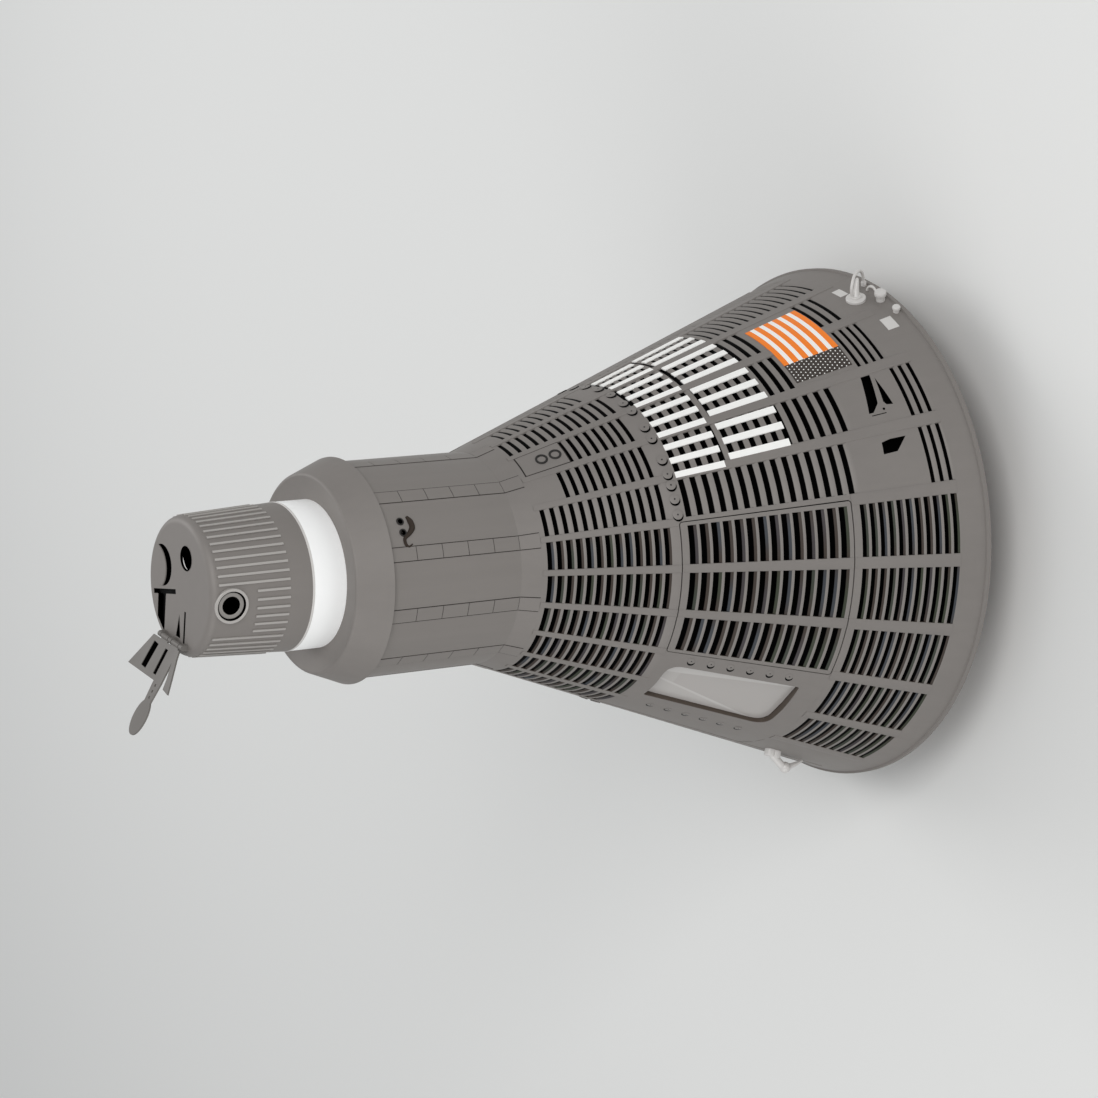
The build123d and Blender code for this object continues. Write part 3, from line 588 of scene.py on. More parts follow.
@dataclass(frozen=True)
class LipFinish(Finish):
    """The heat shield: moulded ablator, and above the height edge the lip in the skin's colour."""

    lip: Colour = GREY
    edge: float = 0.0

    def shade(self, bench: Bench) -> None:
        """Changes from the ablator to the lip at a height.

        Args:
            bench: The material in the making.
        """
        weather = self.weather(bench)
        above = bench.math("GREATER_THAN", bench.axes()[2], self.edge)
        bench.feed("Base Color", bench.mix(above, weather.outputs["Colour"], linear(self.lip)))
        self.polish(bench, weather)


@dataclass(frozen=True)
class GlassFinish(Finish):
    """Thick window glass with painted reflections in soft pale bands.

    Places across and along the pane run from -1 to 1. The bands of painted reflection are a line that slants
    by lean, a paler wash below the line, the front end, and the upper edge, whose glare tapers by edge_lean.
    """

    transmission: float = 0.25
    glare: Colour = (224, 221, 218)
    lean: float = -0.567
    line: Pair = (-0.62, -0.54)
    line_glare: float = 0.55
    below: float = -0.57
    front: Pair = (0.68, 0.72)
    soft_glare: float = 0.2
    edge_lean: float = 0.269
    edge: Pair = (0.51, 0.55)
    edge_glare: float = 0.6

    def shade(self, bench: Bench) -> None:
        """Paints each band's glare, and takes the strongest where bands overlap.

        Args:
            bench: The material in the making.
        """
        bench.feed("Transmission Weight", self.transmission)
        bench.feed("Roughness", self.roughness)
        weather = self.weather(bench)
        across, along = bench.attribute("across"), bench.attribute("along")
        slant = bench.math("MULTIPLY_ADD", along, self.lean, across)
        upper = bench.math("MULTIPLY_ADD", along, self.edge_lean, across)
        # Bands of painted reflection
        bands = (
            (bench.between(slant, *self.line), self.line_glare),
            (bench.math("LESS_THAN", slant, self.below), self.soft_glare),
            (bench.ramp(along, *self.front), self.soft_glare),
            (bench.ramp(upper, *self.edge), self.edge_glare),
        )
        glare = bench.math("MULTIPLY", *bands[0])
        for band in bands[1:]:
            glare = bench.math("MAXIMUM", glare, bench.math("MULTIPLY", *band))
        bench.feed("Base Color", bench.mix(glare, weather.outputs["Colour"], linear(self.glare)))


# The skin's material paints shade into louvres and port floors by their depth
SKIN = SkinFinish("oxidised_skin_painted_shade", GREY, 0.58, 0.15, mottle=0.14, streak=0.10)
PLAIN_SKIN = Finish("plain_skin", GREY, 0.58, 0.15, mottle=0.14, streak=0.10)
# Pieces in their own tints, with black painted as shade in bores and cups and as shadow beside bolts
TINT_AND_PAINTED_SHADE = TintFinish("tinted_metal_painted_shade", GREY, 0.5, 0.15, mottle=0.08)
DARK_SEAM = Finish("dark_seam", DARK, 0.7, specular=0.2, slot="wall")
# Black painted as shade in slits and in the flap's slots
PAINTED_SHADE_BLACK = Finish("painted_shade_black", BLACK, 0.9, specular=0.0, slot="wall")
WHITE_BAND = Finish("white_band", (255, 255, 254), 0.55, mottle=0.02, streak=0.01, slot="white_band")
PALE_FITTING = Finish("pale_fitting", PALE, 0.45, 0.1, slot="bare_metal")
STEEL = Finish("worn_steel", (106, 102, 98), 0.58, 0.1, slot="bare_metal")
SCORCH = Finish("scorched_metal", CHAR, 0.75, mottle=0.5, specular=0.2, slot="wall")
DARK_TRIM = Finish("dark_trim", (80, 70, 62), 0.5, 0.1, slot="dark_trim")
WALL = Finish("dark_wall", (30, 28, 27), 0.7, slot="wall")
CABIN = Finish("cabin_alloy", (150, 154, 148), 0.5, 0.3, slot="cabin_metal")
PANEL = Finish("panel_grey", (84, 90, 92), 0.55, slot="panel")
DIAL = TintFinish("dial_paint", GREY, 0.35, mottle=0.02, slot="panel")
COUCH = Finish("couch_shell", (96, 102, 96), 0.6, slot="couch")
PAINT = Finish("mark_paint", (246, 245, 242), 0.55, mottle=0.04, streak=0.03, slot="white_band")
PATCH = PatchFinish("striped_patch", (247, 128, 20), 0.55, mottle=0.05, streak=0.04, slot="white_band")
GLASS = GlassFinish("window_glass", (194, 189, 185), 0.18, mottle=0.04, streak=0.0, slot="glass")


@dataclass
class Patch:
    """Vertices and faces of a piece in the making, with named values at its vertices."""

    points: np.ndarray
    faces: list[np.ndarray]
    values: dict[str, np.ndarray] = field(default_factory=dict)


def grid(points: np.ndarray, wrap: bool = False, **values: np.ndarray) -> Patch:
    """Lays quads over an array of points.

    Args:
        points: Array of rows, columns and 3 coordinates. Faces look along row step cross column step.
        wrap: Whether the last row joins the first.
        **values: Named arrays of one value, or one colour, for each point.

    Returns:
        The patch of quads.
    """
    rows, columns = points.shape[:2]
    index = np.arange(rows * columns).reshape(rows, columns)
    if wrap:
        index = np.vstack([index, index[:1]])
    corners = (index[:-1, :-1], index[1:, :-1], index[1:, 1:], index[:-1, 1:])
    quads = np.stack(corners, axis=-1).reshape(-1, 4)
    flat = {name: v.reshape(rows * columns, -1) for name, v in values.items()}
    return Patch(points.reshape(-1, 3), [quads], flat)


def join(patches: list[Patch]) -> Patch:
    """Joins patches into one.

    Args:
        patches: What is joined.

    Returns:
        One patch, with zeros where a patch lacks another's values.
    """
    offsets = np.cumsum([0] + [len(p.points) for p in patches])
    faces = [f + start for p, start in zip(patches, offsets) for f in p.faces]
    widths = {name: v.shape[1] for p in patches for name, v in p.values.items()}
    values = {
        name: np.vstack([p.values.get(name, np.zeros((len(p.points), width))) for p in patches])
        for name, width in widths.items()
    }
    return Patch(np.vstack([p.points for p in patches]), faces, values)


@dataclass(frozen=True)
class Wall:
    """A cone or cylinder about the capsule's axis: r = radius at s = 0 less s times the slope's tangent."""

    rim_z: float
    base_r: float
    slope: float

    def radius(self, s: float | np.ndarray) -> float | np.ndarray:
        """Returns the radius at a height."""
        return self.base_r - s * math.tan(self.slope)

    def place(self, psi: object, s: object, out: object = 0.0) -> np.ndarray:
        """Finds points on the wall or beside it.

        Args:
            psi: Angles.
            s: Heights.
            out: How far each point lies outside the wall, along its normal.

        Returns:
            The points, with 3 coordinates in the last axis.
        """
        psi, s, out = np.broadcast_arrays(np.radians(psi), s, out)
        r = self.radius(s) + out * math.cos(self.slope)
        z = self.rim_z + s + out * math.sin(self.slope)
        return np.stack([r * np.sin(psi), -r * np.cos(psi), z], axis=-1)

    def axes(self, psi: object) -> np.ndarray:
        """Finds the wall's own directions.

        Args:
            psi: Angles.

        Returns:
            For each angle, the unit vectors around, up the slope and outwards as rows.
        """
        a = np.radians(np.asarray(psi, float))
        zero = np.zeros_like(a)
        sine, cosine = math.sin(self.slope), math.cos(self.slope)
        around = np.stack([np.cos(a), np.sin(a), zero], axis=-1)
        up = np.stack([-sine * np.sin(a), sine * np.cos(a), zero + cosine], axis=-1)
        out = np.stack([cosine * np.sin(a), -cosine * np.cos(a), zero + sine], axis=-1)
        return np.stack([around, up, out], axis=-2)

    def plate(
        self, psi: np.ndarray, s: np.ndarray, out: np.ndarray, foot: float, **values: np.ndarray
    ) -> Patch:
        """Makes a curved plate with side walls.

        Args:
            psi: Angles of its grid, rising; one for each row, or one for each point.
            s: Heights of its grid, rising.
            out: Height above the wall at each angle and height.
            foot: Height above the wall of the foot of its sides.
            **values: Named values at each angle and height.

        Returns:
            The plate, with one more row of points on each side for the foot.
        """
        psi = np.pad(psi if psi.ndim == 2 else np.repeat(psi[:, None], len(s), axis=1), 1, mode="edge")
        s = np.pad(s, 1, mode="edge")
        out = np.pad(out, 1, constant_values=foot)
        sides = ((1, 1), (1, 1))
        spread = {n: np.pad(v, sides + ((0, 0),) * (v.ndim - 2), mode="edge") for n, v in values.items()}
        return grid(self.place(psi, s[None, :], out), **spread)

    def strip(self, psi: float, half: float, ends: Pair, proud: float, soft: float, foot: float) -> Patch:
        """Makes a narrow bar up the slope with softened long edges.

        Args:
            psi: Angle of its middle.
            half: Half its width, in degrees.
            ends: Heights of its lower and upper end.
            proud: Height of its face above the wall.
            soft: Width of each softened edge, in degrees.
            foot: Height above the wall of the foot of its sides.

        Returns:
            The bar.
        """
        angles = psi + np.array([-half, -half + soft, 0.0, half - soft, half])
        out = np.outer(np.array([STRIP_EDGE, 1.0, 1.0, 1.0, STRIP_EDGE]) * proud, np.ones(2))
        return self.plate(angles, np.array(ends), out, foot)


def circle(steps: int) -> np.ndarray:
    """Returns equal angles round a full turn, in radians."""
    return np.linspace(0, 2 * math.pi, steps, endpoint=False)


def lathe(profile: np.ndarray, steps: int = 192) -> Patch:
    """Turns a profile about the capsule's axis.

    Args:
        profile: Radius and height, running upwards on the outside.
        steps: Sides of the turning.

    Returns:
        The round patch.
    """
    a = circle(steps)
    r, z = profile[:, 0], profile[:, 1]
    heights = np.broadcast_to(z, (steps, len(z)))
    return grid(np.stack([np.outer(np.sin(a), r), -np.outer(np.cos(a), r), heights], axis=-1), wrap=True)


def turned(
    profile: np.ndarray, centres: np.ndarray, axes: np.ndarray, steps: int = 20, **values: np.ndarray
) -> Patch:
    """Turns a small profile about the outward axis of many places at once.

    Args:
        profile: Radius and height outwards, from the foot outside to the top at the middle.
        centres: Places, one a row.
        axes: For each place, the unit vectors around, up and outwards.
        steps: Sides of the turning.
        **values: Named values along the profile.

    Returns:
        All copies as one patch.
    """
    a = circle(steps)
    r, h = profile[:, 0], profile[:, 1]
    heights = np.broadcast_to(h, (steps, len(h)))
    local = np.stack([np.outer(np.cos(a), r), np.outer(np.sin(a), r), heights], axis=-1)
    spread = {name: np.broadcast_to(v, (steps, *v.shape)) for name, v in values.items()}
    return join([grid(local @ frame + centre, wrap=True, **spread) for centre, frame in zip(centres, axes)])


def tube(path: np.ndarray, radii: np.ndarray, steps: int = 14) -> Patch:
    """Carries a circle along a path, turning as little as possible from each point to the next.

    Args:
        path: Points of the middle line.
        radii: The circle's radius at each point.
        steps: Sides of the tube.

    Returns:
        The tube, closed at both ends.
    """
    tangent = np.gradient(path, axis=0)
    tangent /= np.linalg.norm(tangent, axis=1, keepdims=True)
    seed = np.eye(3)[np.argmin(np.abs(tangent[0]))]
    side = np.zeros_like(path)
    side[0] = np.cross(tangent[0], seed)
    for i in range(1, len(path)):
        side[i] = side[i - 1] - tangent[i] * (side[i - 1] @ tangent[i])
    side /= np.linalg.norm(side, axis=1, keepdims=True)
    other = np.cross(tangent, side)
    a = circle(steps)[:, None, None]
    ring = path + radii[:, None] * (np.cos(a) * side + np.sin(a) * other)
    first, last = (np.broadcast_to(p, (steps, 1, 3)) for p in (path[0], path[-1]))
    return grid(np.concatenate([first, ring, last], axis=1), wrap=True)


def smooth_path(points: np.ndarray, steps: int = 10) -> np.ndarray:
    """Carries a smooth curve through points: a Catmull-Rom spline, a cubic between each two points.

    Args:
        points: What the curve goes through.
        steps: Points of the curve from one of them to the next.

    Returns:
        The curve's points.
    """
    p = np.vstack([2 * points[0] - points[1], points, 2 * points[-1] - points[-2]])
    t = np.linspace(0, 1, steps, endpoint=False)[:, None]
    runs = []
    for a, b, c, d in zip(p[:-3], p[1:-2], p[2:-1], p[3:]):
        square = (2 * a - 5 * b + 4 * c - d) * t**2
        cube = (3 * b - a - 3 * c + d) * t**3
        runs.append(0.5 * (2 * b + (c - a) * t + square + cube))
    return np.vstack(runs + [points[-1:]])


def spread_along(path: np.ndarray, radii: np.ndarray) -> np.ndarray:
    """Returns a radius for each point of a path, from radii that are spaced evenly along it."""
    return np.interp(np.linspace(0, 1, len(path)), np.linspace(0, 1, len(radii)), radii)


def star(corners: np.ndarray, centre: np.ndarray, angles: np.ndarray) -> np.ndarray:
    """Finds where rays from a centre leave a polygon.

    Args:
        corners: The polygon's corners in order.
        centre: A point that sees all of the outline.
        angles: Directions of the rays in radians.

    Returns:
        One point of the outline for each ray.
    """
    parallel, slack = 1e-12, 1e-9
    a = corners - centre
    b = np.roll(corners, -1, axis=0) - centre
    d = np.stack([np.cos(angles), np.sin(angles)], axis=-1)[:, None, :]
    edge = b - a
    cross = d[..., 0] * edge[:, 1] - d[..., 1] * edge[:, 0]
    cross = np.where(np.abs(cross) < parallel, parallel, cross)
    reach = (a[:, 0] * edge[:, 1] - a[:, 1] * edge[:, 0]) / cross
    along = (a[:, 0] * d[..., 1] - a[:, 1] * d[..., 0]) / cross
    valid = (reach > 0) & (along > -slack) & (along < 1 + slack)
    reach = np.where(valid, reach, np.inf).min(axis=1)
    return centre + d[:, 0] * reach[:, None]


def holed_plate(
    wall: Wall, outer: np.ndarray, hole: np.ndarray, sink: float, rings: int = 5, blind: bool = True
) -> Patch:
    """Makes a plate on a wall with a sunk hole, between rays from the hole's middle.

    Args:
        wall: The wall that it follows.
        outer: Corners of its outline, in angle and height.
        hole: Corners of the hole, in angle and height.
        sink: Depth of the hole.
        rings: Steps from the outline to the hole.
        blind: Whether the hole has a floor.

    Returns:
        The plate, its outer sides and the hole's wall; with a floor, also the floor, and depth 1 in the hole,
        which paints it black as shade.
    """
    last_ray, rays, digits = 3.1, 48, 6
    scale = np.array([math.radians(1) * wall.radius(hole[:, 1].mean()), 1.0])
    centre = hole.mean(axis=0) * scale
    corners = np.vstack([outer, hole]) * scale - centre
    turns = np.concatenate([np.arctan2(corners[:, 1], corners[:, 0]), np.linspace(-last_ray, last_ray, rays)])
    angles = np.unique(np.round(turns, digits))
    rim = star(outer * scale, centre, angles)
    lip = star(hole * scale, centre, angles)
    t = np.linspace(0, 1, rings)[None, :, None]
    flat = rim[:, None] * (1 - t) + lip[:, None] * t
    middle = np.broadcast_to(centre, (len(angles), 1, 2))
    flat = np.concatenate([flat[:, :1], flat, flat[:, -1:], middle], axis=1) / scale
    out = np.concatenate([[PLATE_FOOT], np.zeros(rings), [-sink, -sink]])
    points = wall.place(flat[..., 0], flat[..., 1], out[None, :])
    if not blind:
        return grid(points[:, :-1], wrap=True)
    # Depth 1 at the bottom of the hole and on its floor paints them black as shade
    depth = np.concatenate([np.zeros(rings + 1), [1.0, 1.0]])
    return grid(points, wrap=True, depth=np.broadcast_to(depth, flat.shape[:2]))


def bolt_heads(
    wall: Wall, psi: np.ndarray, s: np.ndarray, radius: float, lift: float = 0.0, shadow_reach: float = 0.34
) -> Patch:
    """Makes flat bolt heads, each with a painted shadow, a black disc shifted to one side, and a dark middle.

    Args:
        wall: The wall that they sit on.
        psi: Their angles.
        s: Their heights.
        radius: Radius of a head.
        lift: Height of their seats above the wall.
        shadow_reach: How far the black disc shows beside its head as painted shadow, as a share of the
            radius.

    Returns:
        All heads and wells as one patch.
    """
    axes = wall.axes(psi)
    places = wall.place(psi, s, lift)
    # A black disc under each head, shifted to one side: painted shadow
    shadow_disc = radius * np.array([[1.03, -0.3], [1.03, 0.03], [0.0, 0.03]])
    shift = radius * np.array([-shadow_reach, -0.05, 0.0])
    head = radius * np.array([[1.0, 0.0], [1.0, 0.05], [0.9, 0.08], [0.19, 0.10], [0.17, 0.10], [0.0, 0.09]])
    return join([
        turned(shadow_disc, places + shift @ axes, axes, tint=tints(*[BLACK] * 3), depth=np.ones(3)),
        turned(head, places, axes, tint=tints(*[GREY] * 4, *[BLACK] * 2), depth=np.zeros(6)),
    ])


def nozzle(size: Triple, places: np.ndarray, axes: np.ndarray) -> Patch:
    """Makes round openings with a raised dark lip and a bore painted black as shade.

    Args:
        size: Radius of the bore, and width and height of the lip.
        places: Their middles, one a row.
        axes: For each, the unit vectors around, up and outwards.

    Returns:
        All openings as one patch.
    """
    bore, lip, proud = size
    outer, bevel, inner, deep = bore + lip, 0.001, bore - 0.0002, -0.02
    profile = np.array([
        [outer, -2 * bevel],
        [outer, proud - bevel],
        [outer - bevel, proud],
        [bore + bevel, proud],
        [bore, proud - bevel],
        [inner, proud - 1.5 * bevel],
        [inner, deep],
        [0.0, deep],
    ])
    # Depth 1 paints the bore black as shade
    inside = np.array([0, 0, 0, 0, 0, 1, 1, 1.0])
    return turned(profile, places, axes, 28, tint=tints(*[DARK_LIP] * len(profile)), depth=inside)


class Workshop:
    """Turns patches into pieces that ride on the frame, and holds the finishes."""

    def __init__(self, frame: dict, groups: Groups) -> None:
        """Starts with no materials.

        Args:
            frame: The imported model.
            groups: The shared node groups.
        """
        self.frame = frame
        self.groups = groups
        self.made: dict[str, bpy.types.Material] = {}

    def material(self, finish: Finish) -> bpy.types.Material:
        """Gives a finish's material, made at its first use.

        Args:
            finish: The finish.

        Returns:
            Its material.
        """
        if finish.name not in self.made:
            self.made[finish.name] = finish.material(self.groups)
        return self.made[finish.name]

    def dress(self, finish: Finish, *nodes: str) -> None:
        """Gives CAD pieces a finish.

        Args:
            finish: The finish.
            *nodes: Names of the pieces.
        """
        for node in nodes:
            mesh = self.frame["nodes"][node].data
            mesh.materials.clear()
            mesh.materials.append(self.material(finish))
            log.info("dressed %s in %s", node, finish.name)

    @staticmethod
    def mesh(name: str, patch: Patch) -> bpy.types.Mesh:
        """Turns a patch into a mesh.

        Args:
            name: The mesh's name.
            patch: Its vertices, faces and values.

        Returns:
            The mesh, with doubled points merged, smooth faces and sharp edges.
        """
        mesh = bpy.data.meshes.new(name)
        faces = np.vstack(patch.faces)
        mesh.vertices.add(len(patch.points))
        mesh.vertices.foreach_set("co", patch.points.astype(np.float32).ravel())
        mesh.loops.add(faces.size)
        mesh.loops.foreach_set("vertex_index", faces.astype(np.int32).ravel())
        mesh.polygons.add(len(faces))
        mesh.polygons.foreach_set("loop_start", np.arange(0, faces.size, faces.shape[1], dtype=np.int32))
        mesh.update(calc_edges=True)
        for value, array in patch.values.items():
            colour = array.shape[1] == 4
            attribute = mesh.attributes.new(value, "FLOAT_COLOR" if colour else "FLOAT", "POINT")
            attribute.data.foreach_set("color" if colour else "value", array.astype(np.float32).ravel())
        work = bmesh.new()
        work.from_mesh(mesh)
        bmesh.ops.remove_doubles(work, verts=work.verts, dist=MERGE_DISTANCE)
        work.to_mesh(mesh)
        work.free()
        mesh.polygons.foreach_set("use_smooth", np.ones(len(mesh.polygons), dtype=bool))
        mesh.set_sharp_from_angle(angle=SHARP_ANGLE)
        return mesh

    def piece(
        self, name: str, patch: Patch, finish: Finish, body: str = "capsule", replaces: tuple[str, ...] = ()
    ) -> None:
        """Makes a piece that rides on a body.

        Args:
            name: The piece's name.
            patch: Its vertices, faces and values.
            finish: Its finish.
            body: The body that it rides on.
            replaces: CAD nodes that it stands for.
        """
        mesh = self.mesh(name, patch)
        mesh.materials.append(self.material(finish))
        made = bpy.data.objects.new(name, mesh)
        bpy.context.scene.collection.objects.link(made)
        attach(made, body)
        if replaces:
            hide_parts(*replaces)
        log.info("made %s: %d faces", name, len(mesh.polygons))


class LouvreStyle(Enum):
    """Whether the slopes behind a column's openings keep the skin's colour or take tints of painted shade."""

    BARE = "bare"
    TINT_AND_PAINTED_SHADE = "tinted"


def corner_cut(distance: np.ndarray, radius: float) -> np.ndarray:
    """Returns how far a quarter circle lies inside the square corner, at distances from the corner's end."""
    rest = np.clip(radius - distance, 0, radius)
    return radius - np.sqrt(radius**2 - rest**2)


@dataclass(frozen=True)
class Slots:
    """A run of louvres: heights of the first and last opening, and their number."""

    first: float
    last: float
    count: int

    @property
    def pitch(self) -> float:
        """Step from one louvre to the next."""
        return (self.last - self.first) / (self.count - 1)


AFT = Slots(0.123, 0.437, 11)
MID = Slots(0.508, 1.019, 14)
FORWARD = Slots(1.102, 1.490, 13)


@dataclass
class LouvredSkin:
    """The cone's shingles: columns of louvres between rails, on every side.

    A column is numbered from the middle of the hatch, and angles in it are degrees from its own middle. On
    the shaded side, a louvre's slope carries painted shade and reflection in a dark tint, full near its
    middle, moved by up to slope_shade_shift of the column's half width, and falling off to the first tint by
    slope_shade_fall.
    """

    wall: Wall
    top: float
    depth: float = 0.012
    crest: float = 0.009
    drop: float = 0.002
    opening_at: float = 0.775
    plate_half: float = SECTOR / 2 - SEAM
    seam_edge: float = -SECTOR / 2 + TIGHT_SEAM
    slot_half: float = 6.6
    slot_side: float = 0.1
    slot_points: int = 7
    corner_points: int = 6
    corner_start: float = 0.2
    rail_half: float = 1.45
    rail_proud: float = 0.002
    rail_soft: float = 0.2
    seed: int = 7
    # Dark tints that paint shade and reflection on the slopes
    slope_shade_tints: tuple[Colour, ...] = (
        (50, 39, 31), (43, 49, 32), (47, 51, 57), (50, 39, 31), (44, 49, 38), (51, 45, 47),
    )
    slope_shade_shift: float = 0.5
    slope_shade_full: float = 1.7
    slope_shade_fall: float = 2.0
    # Columns on the lit side, whose slopes keep the skin's colour
    lit_columns: tuple[int, int] = (2, 8)
    hatch_columns: tuple[int, ...] = (-1, 0, 1)
    window_columns: tuple[int, ...] = (-4, -3, -2)

    def __post_init__(self) -> None:
        """Lists the louvres of each column, and the heights where a column is left open."""
        self.open_columns = self.window_columns + self.hatch_columns
        self.runs: dict[int, tuple[Slots, ...]] = {k: (AFT, MID, FORWARD) for k in COLUMNS}
        self.runs.update({k: (AFT, FORWARD) for k in self.open_columns})
        self.runs[-4] = (FORWARD,)
        self.runs[2] = (Slots(0.120, 0.181, 3), Slots(0.464, 1.019, 15), FORWARD)
        self.runs[3] = (Slots(0.126, 0.187, 3), Slots(0.430, 1.019, 16), Slots(1.106, 1.392, 10))
        self.runs[4] = (Slots(0.194, 0.280, 4), Slots(0.530, 1.018, 14), Slots(1.112, 1.331, 8))
        self.runs[5] = (Slots(0.218, 0.288, 3), Slots(0.540, 1.032, 14), FORWARD)
        self.runs[6] = (Slots(0.160, 1.030, 29), Slots(1.142, 1.452, 11))
        self.gaps: dict[int, Pair] = {k: (HATCH_AFT, HATCH_TOP) for k in self.open_columns}
        self.gaps[2] = (0.222, 0.432)
        self.gaps[3] = (0.205, 0.398)
        self.random = np.random.default_rng(self.seed)

    def style(self, column: int) -> LouvreStyle:
        """Returns whether a column's slopes keep the skin's colour or take painted shade."""
        first, last = self.lit_columns
        return LouvreStyle.BARE if first <= column <= last else LouvreStyle.TINT_AND_PAINTED_SHADE

    def stations(self, ends: Pair, runs: tuple[Slots, ...]) -> tuple[np.ndarray, np.ndarray, np.ndarray]:
        """Works out the heights of one column.

        A louvre has a flat crest, a slope down to its opening and a steep drop up to the next crest.

        Args:
            ends: Lower and upper end of the column.
            runs: Its runs of louvres.

        Returns:
            Heights, depths from 0 to 1, and the number of the louvre at each height.
        """
        rows = [(ends[0], 0.0, 0)]
        number = 0
        for run in runs:
            for i in range(run.count):
                start = run.first + (i - self.opening_at) * run.pitch
                end = start + run.pitch
                if start + self.crest < ends[0] or end > ends[1]:
                    continue
                number += 1
                rows += [
                    (start + self.crest, 0.0, number),
                    (end - self.drop, 1.0, number),
                    (end, 0.0, number),
                ]
        rows.append((ends[1], 0.0, number))
        table = np.array(rows)
        return table[:, 0], table[:, 1], table[:, 2].astype(int)

    def corner_stations(
        self, s: np.ndarray, depth: np.ndarray, number: np.ndarray, corner: float
    ) -> tuple[np.ndarray, np.ndarray, np.ndarray]:
        """Adds the heights that a column's rounded corners need.

        Args:
            s: The column's heights.
            depth: Its depths.
            number: Its louvres' numbers.
            corner: Radius of the corners.

        Returns:
            The three arrays with the new heights sorted in.
        """
        turn = corner * (1 - np.cos(np.linspace(self.corner_start, math.pi / 2, self.corner_points)))
        extra = np.concatenate([s[0] + turn, s[-1] - turn])
        order = np.argsort(np.concatenate([s, extra]), kind="stable")
        depth = np.concatenate([depth, np.interp(extra, s, depth)])[order]
        number = np.concatenate([number, number[np.searchsorted(s, extra) - 1]])[order]
        return np.concatenate([s, extra])[order], depth, number

    def paint_slope_shade(self, number: np.ndarray, rows: int) -> np.ndarray:
        """Picks a dark tint of painted shade and reflection for each louvre and lays it over the column.

        Args:
            number: The louvre's number at each height.
            rows: Number of points across the column.

        Returns:
            A colour for each point across and each height.
        """
        count = number.max() + 1
        picks = self.random.integers(0, len(self.slope_shade_tints), count)
        ends, middle = tints(self.slope_shade_tints[0]), tints(*self.slope_shade_tints)[picks][number]
        shift = self.random.uniform(-self.slope_shade_shift, self.slope_shade_shift, count)[number]
        away = np.abs(np.linspace(-1, 1, rows)[:, None] - shift)
        t = np.clip(self.slope_shade_full - self.slope_shade_fall * away, 0, 1)[..., None]
        return ends * (1 - t) + middle * t

    def column(self, k: int, ends: Pair, sides: Pair, runs: tuple[Slots, ...], corner: float = 0.0) -> Patch:
        """Makes one column of louvres between two heights.

        Args:
            k: The column's number.
            ends: Its lower and upper end.
            sides: Angles of its left and right side.
            runs: Its runs of louvres.
            corner: Radius of the corners on the side away from the middle of the hatch.

        Returns:
            The plate, with its depth and tint at each point, which paint shade on its slopes and openings.
        """
        s, depth, number = self.stations(ends, runs)
        if corner:
            s, depth, number = self.corner_stations(s, depth, number, corner)
        inner = np.linspace(-self.slot_half, self.slot_half, self.slot_points)
        border = self.slot_half + self.slot_side
        angles = np.concatenate([[sides[0], -border], inner, [border, sides[1]]])
        psi = np.repeat(k * SECTOR + angles[:, None], len(s), axis=1)
        share = np.outer(np.concatenate([[0, 0], np.ones(len(inner)), [0, 0]]), depth)
        # On the shaded side the slopes take tints of painted shade and reflection; on the lit side, the
        # skin's colour
        if self.style(k) is LouvreStyle.TINT_AND_PAINTED_SHADE:
            tint = self.paint_slope_shade(number, len(angles))
        else:
            tint = np.broadcast_to(np.array(linear(SKIN.colour)), (*share.shape, 4))
        if corner:
            cut = corner_cut(s - ends[0], corner) + corner_cut(ends[1] - s, corner)
            bend = np.degrees(cut) / self.wall.radius(s)
            psi[0 if k < 0 else -1] += bend if k < 0 else -bend
        return self.wall.plate(psi, s, -self.depth * share, PLATE_FOOT, depth=share, tint=tint)

    def skin(self) -> Patch:
        """Makes every column that is fixed to the capsule.

        Returns:
            All columns as one patch.
        """
        parts = []
        for k, runs in self.runs.items():
            gap = self.gaps.get(k)
            spans = [(SKIRT_TOP, self.top)] if gap is None else [(SKIRT_TOP, gap[0]), (gap[1], self.top)]
            low = self.seam_edge if k == self.hatch_columns[-1] + 1 else -self.plate_half
            parts += [self.column(k, ends, (low, self.plate_half), runs) for ends in spans]
        return join(parts)

    def rail(self, psi: float, ends: Pair) -> Patch:
        """Makes one rail at an angle between two heights."""
        return self.wall.strip(psi, self.rail_half, ends, self.rail_proud, self.rail_soft, PLATE_FOOT)

    def rails(self) -> Patch:
        """Makes the rails between the columns, left out across the hatch and the window.

        Returns:
            All rails as one patch.
        """
        parts = []
        for k in COLUMNS:
            spans = [(SKIRT_TOP, self.top)]
            if k in self.open_columns:
                spans = [(SKIRT_TOP, HATCH_AFT), (HATCH_TOP, self.top)]
            parts += [self.rail((k + 0.5) * SECTOR, ends) for ends in spans]
        return join(parts)

    def build(self, shop: Workshop) -> None:
        """Makes the skin and its rails.

        Args:
            shop: The workshop that makes the pieces.
        """
        shingles = ("shingles_aft", "shingles_mid", "shingles_forward")
        shop.piece("louvred_skin", self.skin(), SKIN, replaces=shingles)
        shop.piece("skin_rails", self.rails(), SKIN, replaces=("rails", "strut_panel", "skirt_panel"))


